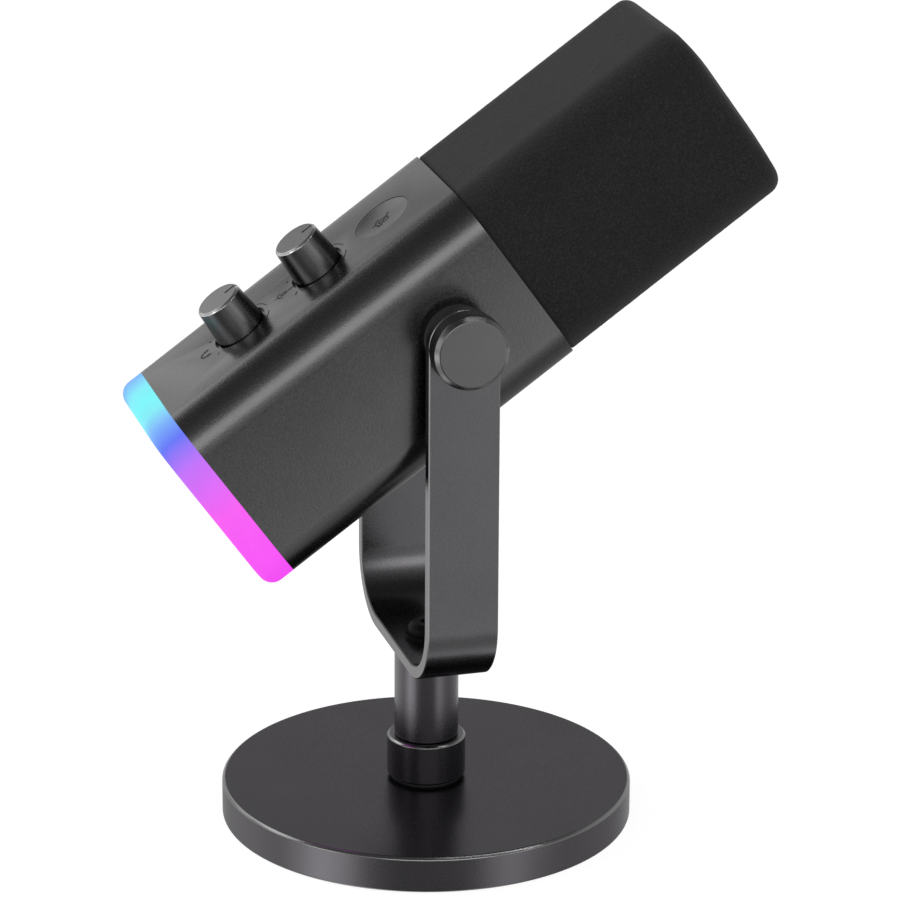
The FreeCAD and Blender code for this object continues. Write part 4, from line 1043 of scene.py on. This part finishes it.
def join_marks(name, marks):
    clear_selection()
    for mark in marks:
        mark.select_set(True)
    bpy.context.view_layer.objects.active = marks[0]
    bpy.ops.object.join()
    joined = bpy.context.object
    joined.name = joined.data.name = name
    with editing(joined):
        bpy.ops.mesh.normals_make_consistent(inside=False)
    return joined


def printed_marks():
    """Small plain marks by each dial: a dot, a dash, a scale arc and a headphone sign."""
    marks = []
    for place in dial_places():
        marks.append(printed_dot(place - MARK_BEHIND, 4.4 * MM, DOT_RADIUS))
        marks.append(printed_dash(place - MARK_BEHIND, -4.6 * MM, 1.2 * MM, FINE_LINE, DASH_TURN))
        for start, finish in SCALE_ARCS:
            marks.append(printed_arc(place, 0, SCALE_RADIUS, SCALE_LINE, start, finish))
    sign = dial_places()[0] - HEADPHONES_BEHIND
    marks.append(printed_arc(sign, 0, HEADPHONES_RADIUS, BOLD_LINE, 90, 270))
    for side in (1, -1):
        marks.append(printed_dash(sign + 0.5 * MM, side * HEADPHONES_RADIUS, 1.2 * MM, 0.75 * MM))
    between = sum(dial_places()) / 2 + CAPSULE_AHEAD
    marks.extend(capsule_sign(between, 0.85 * MM, 0.5 * MM, FINE_LINE))
    marks.append(printed_dash(between + 2 * MM, 0, 1.8 * MM, 0.3 * MM))
    printed = join_marks("printed_marks", marks)
    apply_modifier(printed, "SOLIDIFY", thickness=PRINT_DEPTH, offset=1)
    move_mesh(printed, HEAD)
    dress(printed, "head", "black_plastic", finish=INK)


def mute_sign(button):
    """A small struck-out capsule sign laid in the mute button's dish."""
    x = mute_place()
    marks = capsule_sign(x, 1.3 * MM, 0.95 * MM, BOLD_LINE)
    marks.append(printed_dash(x, 0, STROKE_LENGTH, 0.38 * MM, STROKE_TURN))
    sign = join_marks("mute_sign", marks)
    with editing(sign):
        bpy.ops.mesh.subdivide(number_cuts=3)
    move_mesh(sign, HEAD)
    select_only(sign)
    wrap = sign.modifiers.new("Wrap", "SHRINKWRAP")
    wrap.target = button
    wrap.wrap_method = "NEAREST_SURFACEPOINT"
    wrap.offset = PRINT_LIFT
    bpy.ops.object.modifier_apply(modifier=wrap.name)
    apply_modifier(sign, "SOLIDIFY", thickness=PRINT_DEPTH, offset=-1)
    tidy_faces(sign)
    dress(sign, "head", "black_plastic", finish=INK)


# ---------------- studio
CAMERA_PLACE = Vector((-0.27854319, -0.99403057, 0.45908946))
CAMERA_AIM = Vector((0.0057757, 0, 0.0945391))
CAMERA_ROLL = math.radians(0.298)
LENS_MM = 179.465
SENSOR_MM = 36
FLOOR_GREY = 0.4
FLOOR_GLOW = 0.84

# Light along the compass, in degrees from the camera's side, for directions below the level.
STREAKS = [
    (-180, 0.7), (-164, 0.9), (-144, 1.4), (-124, 1.45), (-104, 1.2), (-93, 1.8), (-77, 3.1),
    (-63, 2.4), (-47, 0.7), (-30, 0.4), (-14, 0.42), (2, 0.45), (12, 0.54), (16, 0.86),
    (21, 1.5), (34, 1.95), (51, 1.1), (67, 0.8), (100, 0.9), (132, 0.95), (157, 0.7), (180, 0.7),
]
# Light by the height of the direction, from straight down at -1 to straight up at 1.
WALLS = [
    (-1, 0.9), (-0.9, 0.8), (-0.76, 0.4), (-0.57, 0.4), (-0.43, 0.92), (-0.36, 0.86),
    (-0.29, 1.3), (-0.21, 0.45), (-0.1, 0.85), (0, 0.7), (0.4, 0.7), (0.78, 0.18), (1, 0.12),
]
STREAKS_END = (-0.2, -0.08)


class StudioTree(NodeTree):
    """The tree of the floor's paint or of the world, begun from nothing."""

    def __init__(self, owner):
        super().__init__(owner)
        self.tree.nodes.clear()

    def maths(self, operation, first, second):
        """One sum; each term is a socket or a number."""
        step = self.node("ShaderNodeMath", operation=operation)
        for term, socket in zip((first, second), step.inputs):
            if isinstance(term, (int, float)):
                socket.default_value = term
            else:
                self.join(term, socket)
        return step.outputs[0]

    def profile(self, source, start, finish, stops):
        """A level along stops of (place, level), while the source goes from 0 to 1."""
        brightest = max(level for place, level in stops)
        level = self.ramp(source, [((place - start) / (finish - start), grey(level / brightest))
                                   for place, level in stops], flow="EASE")
        return self.maths("MULTIPLY", level, brightest)


def studio_floor():
    """A pale floor, white to the camera, that keeps the object's shadow."""
    floor = add_piece("studio_floor", bpy.ops.mesh.primitive_plane_add, size=6)
    material = bpy.data.materials.new("white_studio_floor")
    tree = StudioTree(material)
    paint = tree.node("ShaderNodeBsdfDiffuse")
    paint.inputs["Color"].default_value = grey(FLOOR_GREY)
    rays = tree.node("ShaderNodeLightPath").outputs
    seen = tree.maths("MAXIMUM", rays["Is Camera Ray"], rays["Is Transmission Ray"])
    glow = tree.node("ShaderNodeEmission")
    glow.inputs["Color"].default_value = grey(1.0)
    tree.join(tree.maths("MULTIPLY", seen, FLOOR_GLOW), glow.inputs["Strength"])
    both = tree.node("ShaderNodeAddShader")
    tree.join(paint.outputs[0], both.inputs[0])
    tree.join(glow.outputs[0], both.inputs[1])
    tree.join(both.outputs[0], tree.node("ShaderNodeOutputMaterial").inputs["Surface"])
    floor.data.materials.append(material)
    floor.visible_glossy = False


def studio_world():
    """White walls up to head height, a dark ceiling, and streaks of light low down."""
    world = bpy.data.worlds.new("studio")
    bpy.context.scene.world = world
    tree = StudioTree(world)
    direction = tree.node("ShaderNodeTexCoord").outputs["Generated"]
    turn = tree.node("ShaderNodeMapping")
    turn.inputs["Rotation"].default_value = (0, 0, math.pi / 2)
    tree.join(direction, turn.inputs["Vector"])
    azimuth = tree.node("ShaderNodeTexGradient", gradient_type="RADIAL")
    tree.join(turn.outputs["Vector"], azimuth.inputs["Vector"])
    parts = tree.node("ShaderNodeSeparateXYZ")
    tree.join(direction, parts.inputs["Vector"])
    height = parts.outputs["Z"]
    streaks = tree.profile(azimuth.outputs["Fac"], -180, 180, STREAKS)
    walls = tree.profile(tree.spread(height, 0, 1, -1, 1), -1, 1, WALLS)
    evened = tree.node("ShaderNodeMix")
    tree.join(tree.spread(height, 0, 1, *STREAKS_END), evened.inputs["Factor"])
    tree.join(streaks, evened.inputs["A"])
    evened.inputs["B"].default_value = 1.0
    level = tree.maths("MULTIPLY", walls, evened.outputs["Result"])
    rays = tree.node("ShaderNodeLightPath").outputs
    background = tree.node("ShaderNodeBackground")
    background.inputs["Color"].default_value = grey(1.0)
    tree.join(tree.maths("MAXIMUM", level, rays["Is Camera Ray"]), background.inputs["Strength"])
    tree.join(background.outputs[0], tree.node("ShaderNodeOutputWorld").inputs["Surface"])


def square_to(away):
    """Unit vectors to the right, up and towards a viewer who stands that way off."""
    away = away.normalized()
    right = Vector((0, 0, 1)).cross(away).normalized()
    return right, away.cross(right), away


def add_softbox(name, azimuth, elevation, width, height, level, distance=1.4,
                target=(0, 0, 0.11), slide=(0, 0)):
    """A soft lamp on a dome round a target; azimuth 0 is the camera's side."""
    a, e = math.radians(azimuth), math.radians(elevation)
    away = Vector((math.sin(a) * math.cos(e), -math.cos(a) * math.cos(e), math.sin(e)))
    lamp = bpy.data.lights.new(name, "AREA")
    lamp.shape = "RECTANGLE"
    lamp.size, lamp.size_y = width, height
    lamp.energy = level * math.pi * width * height
    holder = bpy.data.objects.new(name, lamp)
    right, up, away = square_to(away)
    holder.location = Vector(target) + away * distance + right * slide[0] + up * slide[1]
    holder.rotation_euler = away.to_track_quat("Z", "Y").to_euler()
    holder.visible_camera = False
    bpy.context.scene.collection.objects.link(holder)


def studio_lamps():
    add_softbox("front_softbox", -8, 18.5, 1.5, 0.48, 2.0)
    add_softbox("left_strip", -73, 10, 0.5, 0.6, 1.5)
    add_softbox("right_strip", 36, 10, 0.35, 0.6, 0.8)
    add_softbox("top_strip", 0, 67, 1.0, 0.08, 5.0, distance=1.2, slide=(0.5, 0))
    add_softbox("rear_left_strip", -125, 36, 0.7, 0.36, 1.8, distance=1.2)
    add_softbox("rear_panel_light", -160, 28, 0.22, 0.22, 0.65, distance=0.35,
                target=(-0.05, 0, 0.14), slide=(0.06, -0.06))


def studio_camera():
    """The camera looks down a little on the object, from its right and well back."""
    lens = bpy.data.cameras.new("studio_camera")
    lens.lens = LENS_MM
    lens.sensor_width = SENSOR_MM
    lens.clip_start = 0.01
    holder = bpy.data.objects.new("studio_camera", lens)
    right, up, back = square_to(CAMERA_PLACE - CAMERA_AIM)
    right = right * math.cos(CAMERA_ROLL) + up * math.sin(CAMERA_ROLL)
    turn = Matrix((right, back.cross(right), back)).transposed().to_4x4()
    holder.matrix_world = Matrix.Translation(CAMERA_PLACE) @ turn
    bpy.context.scene.collection.objects.link(holder)
    bpy.context.scene.camera = holder


studio_camera()
paint_nodes()
base_disc()
locking_collar()
post_tube()
yoke_strap()
thumb_screws()
barrel_shell()
glow_ring()
dials()
button = mute_button()
printed_marks()
mute_sign(button)
foam_cover()
studio_floor()
studio_world()
studio_lamps()
bpy.context.scene.view_settings.view_transform = "Standard"
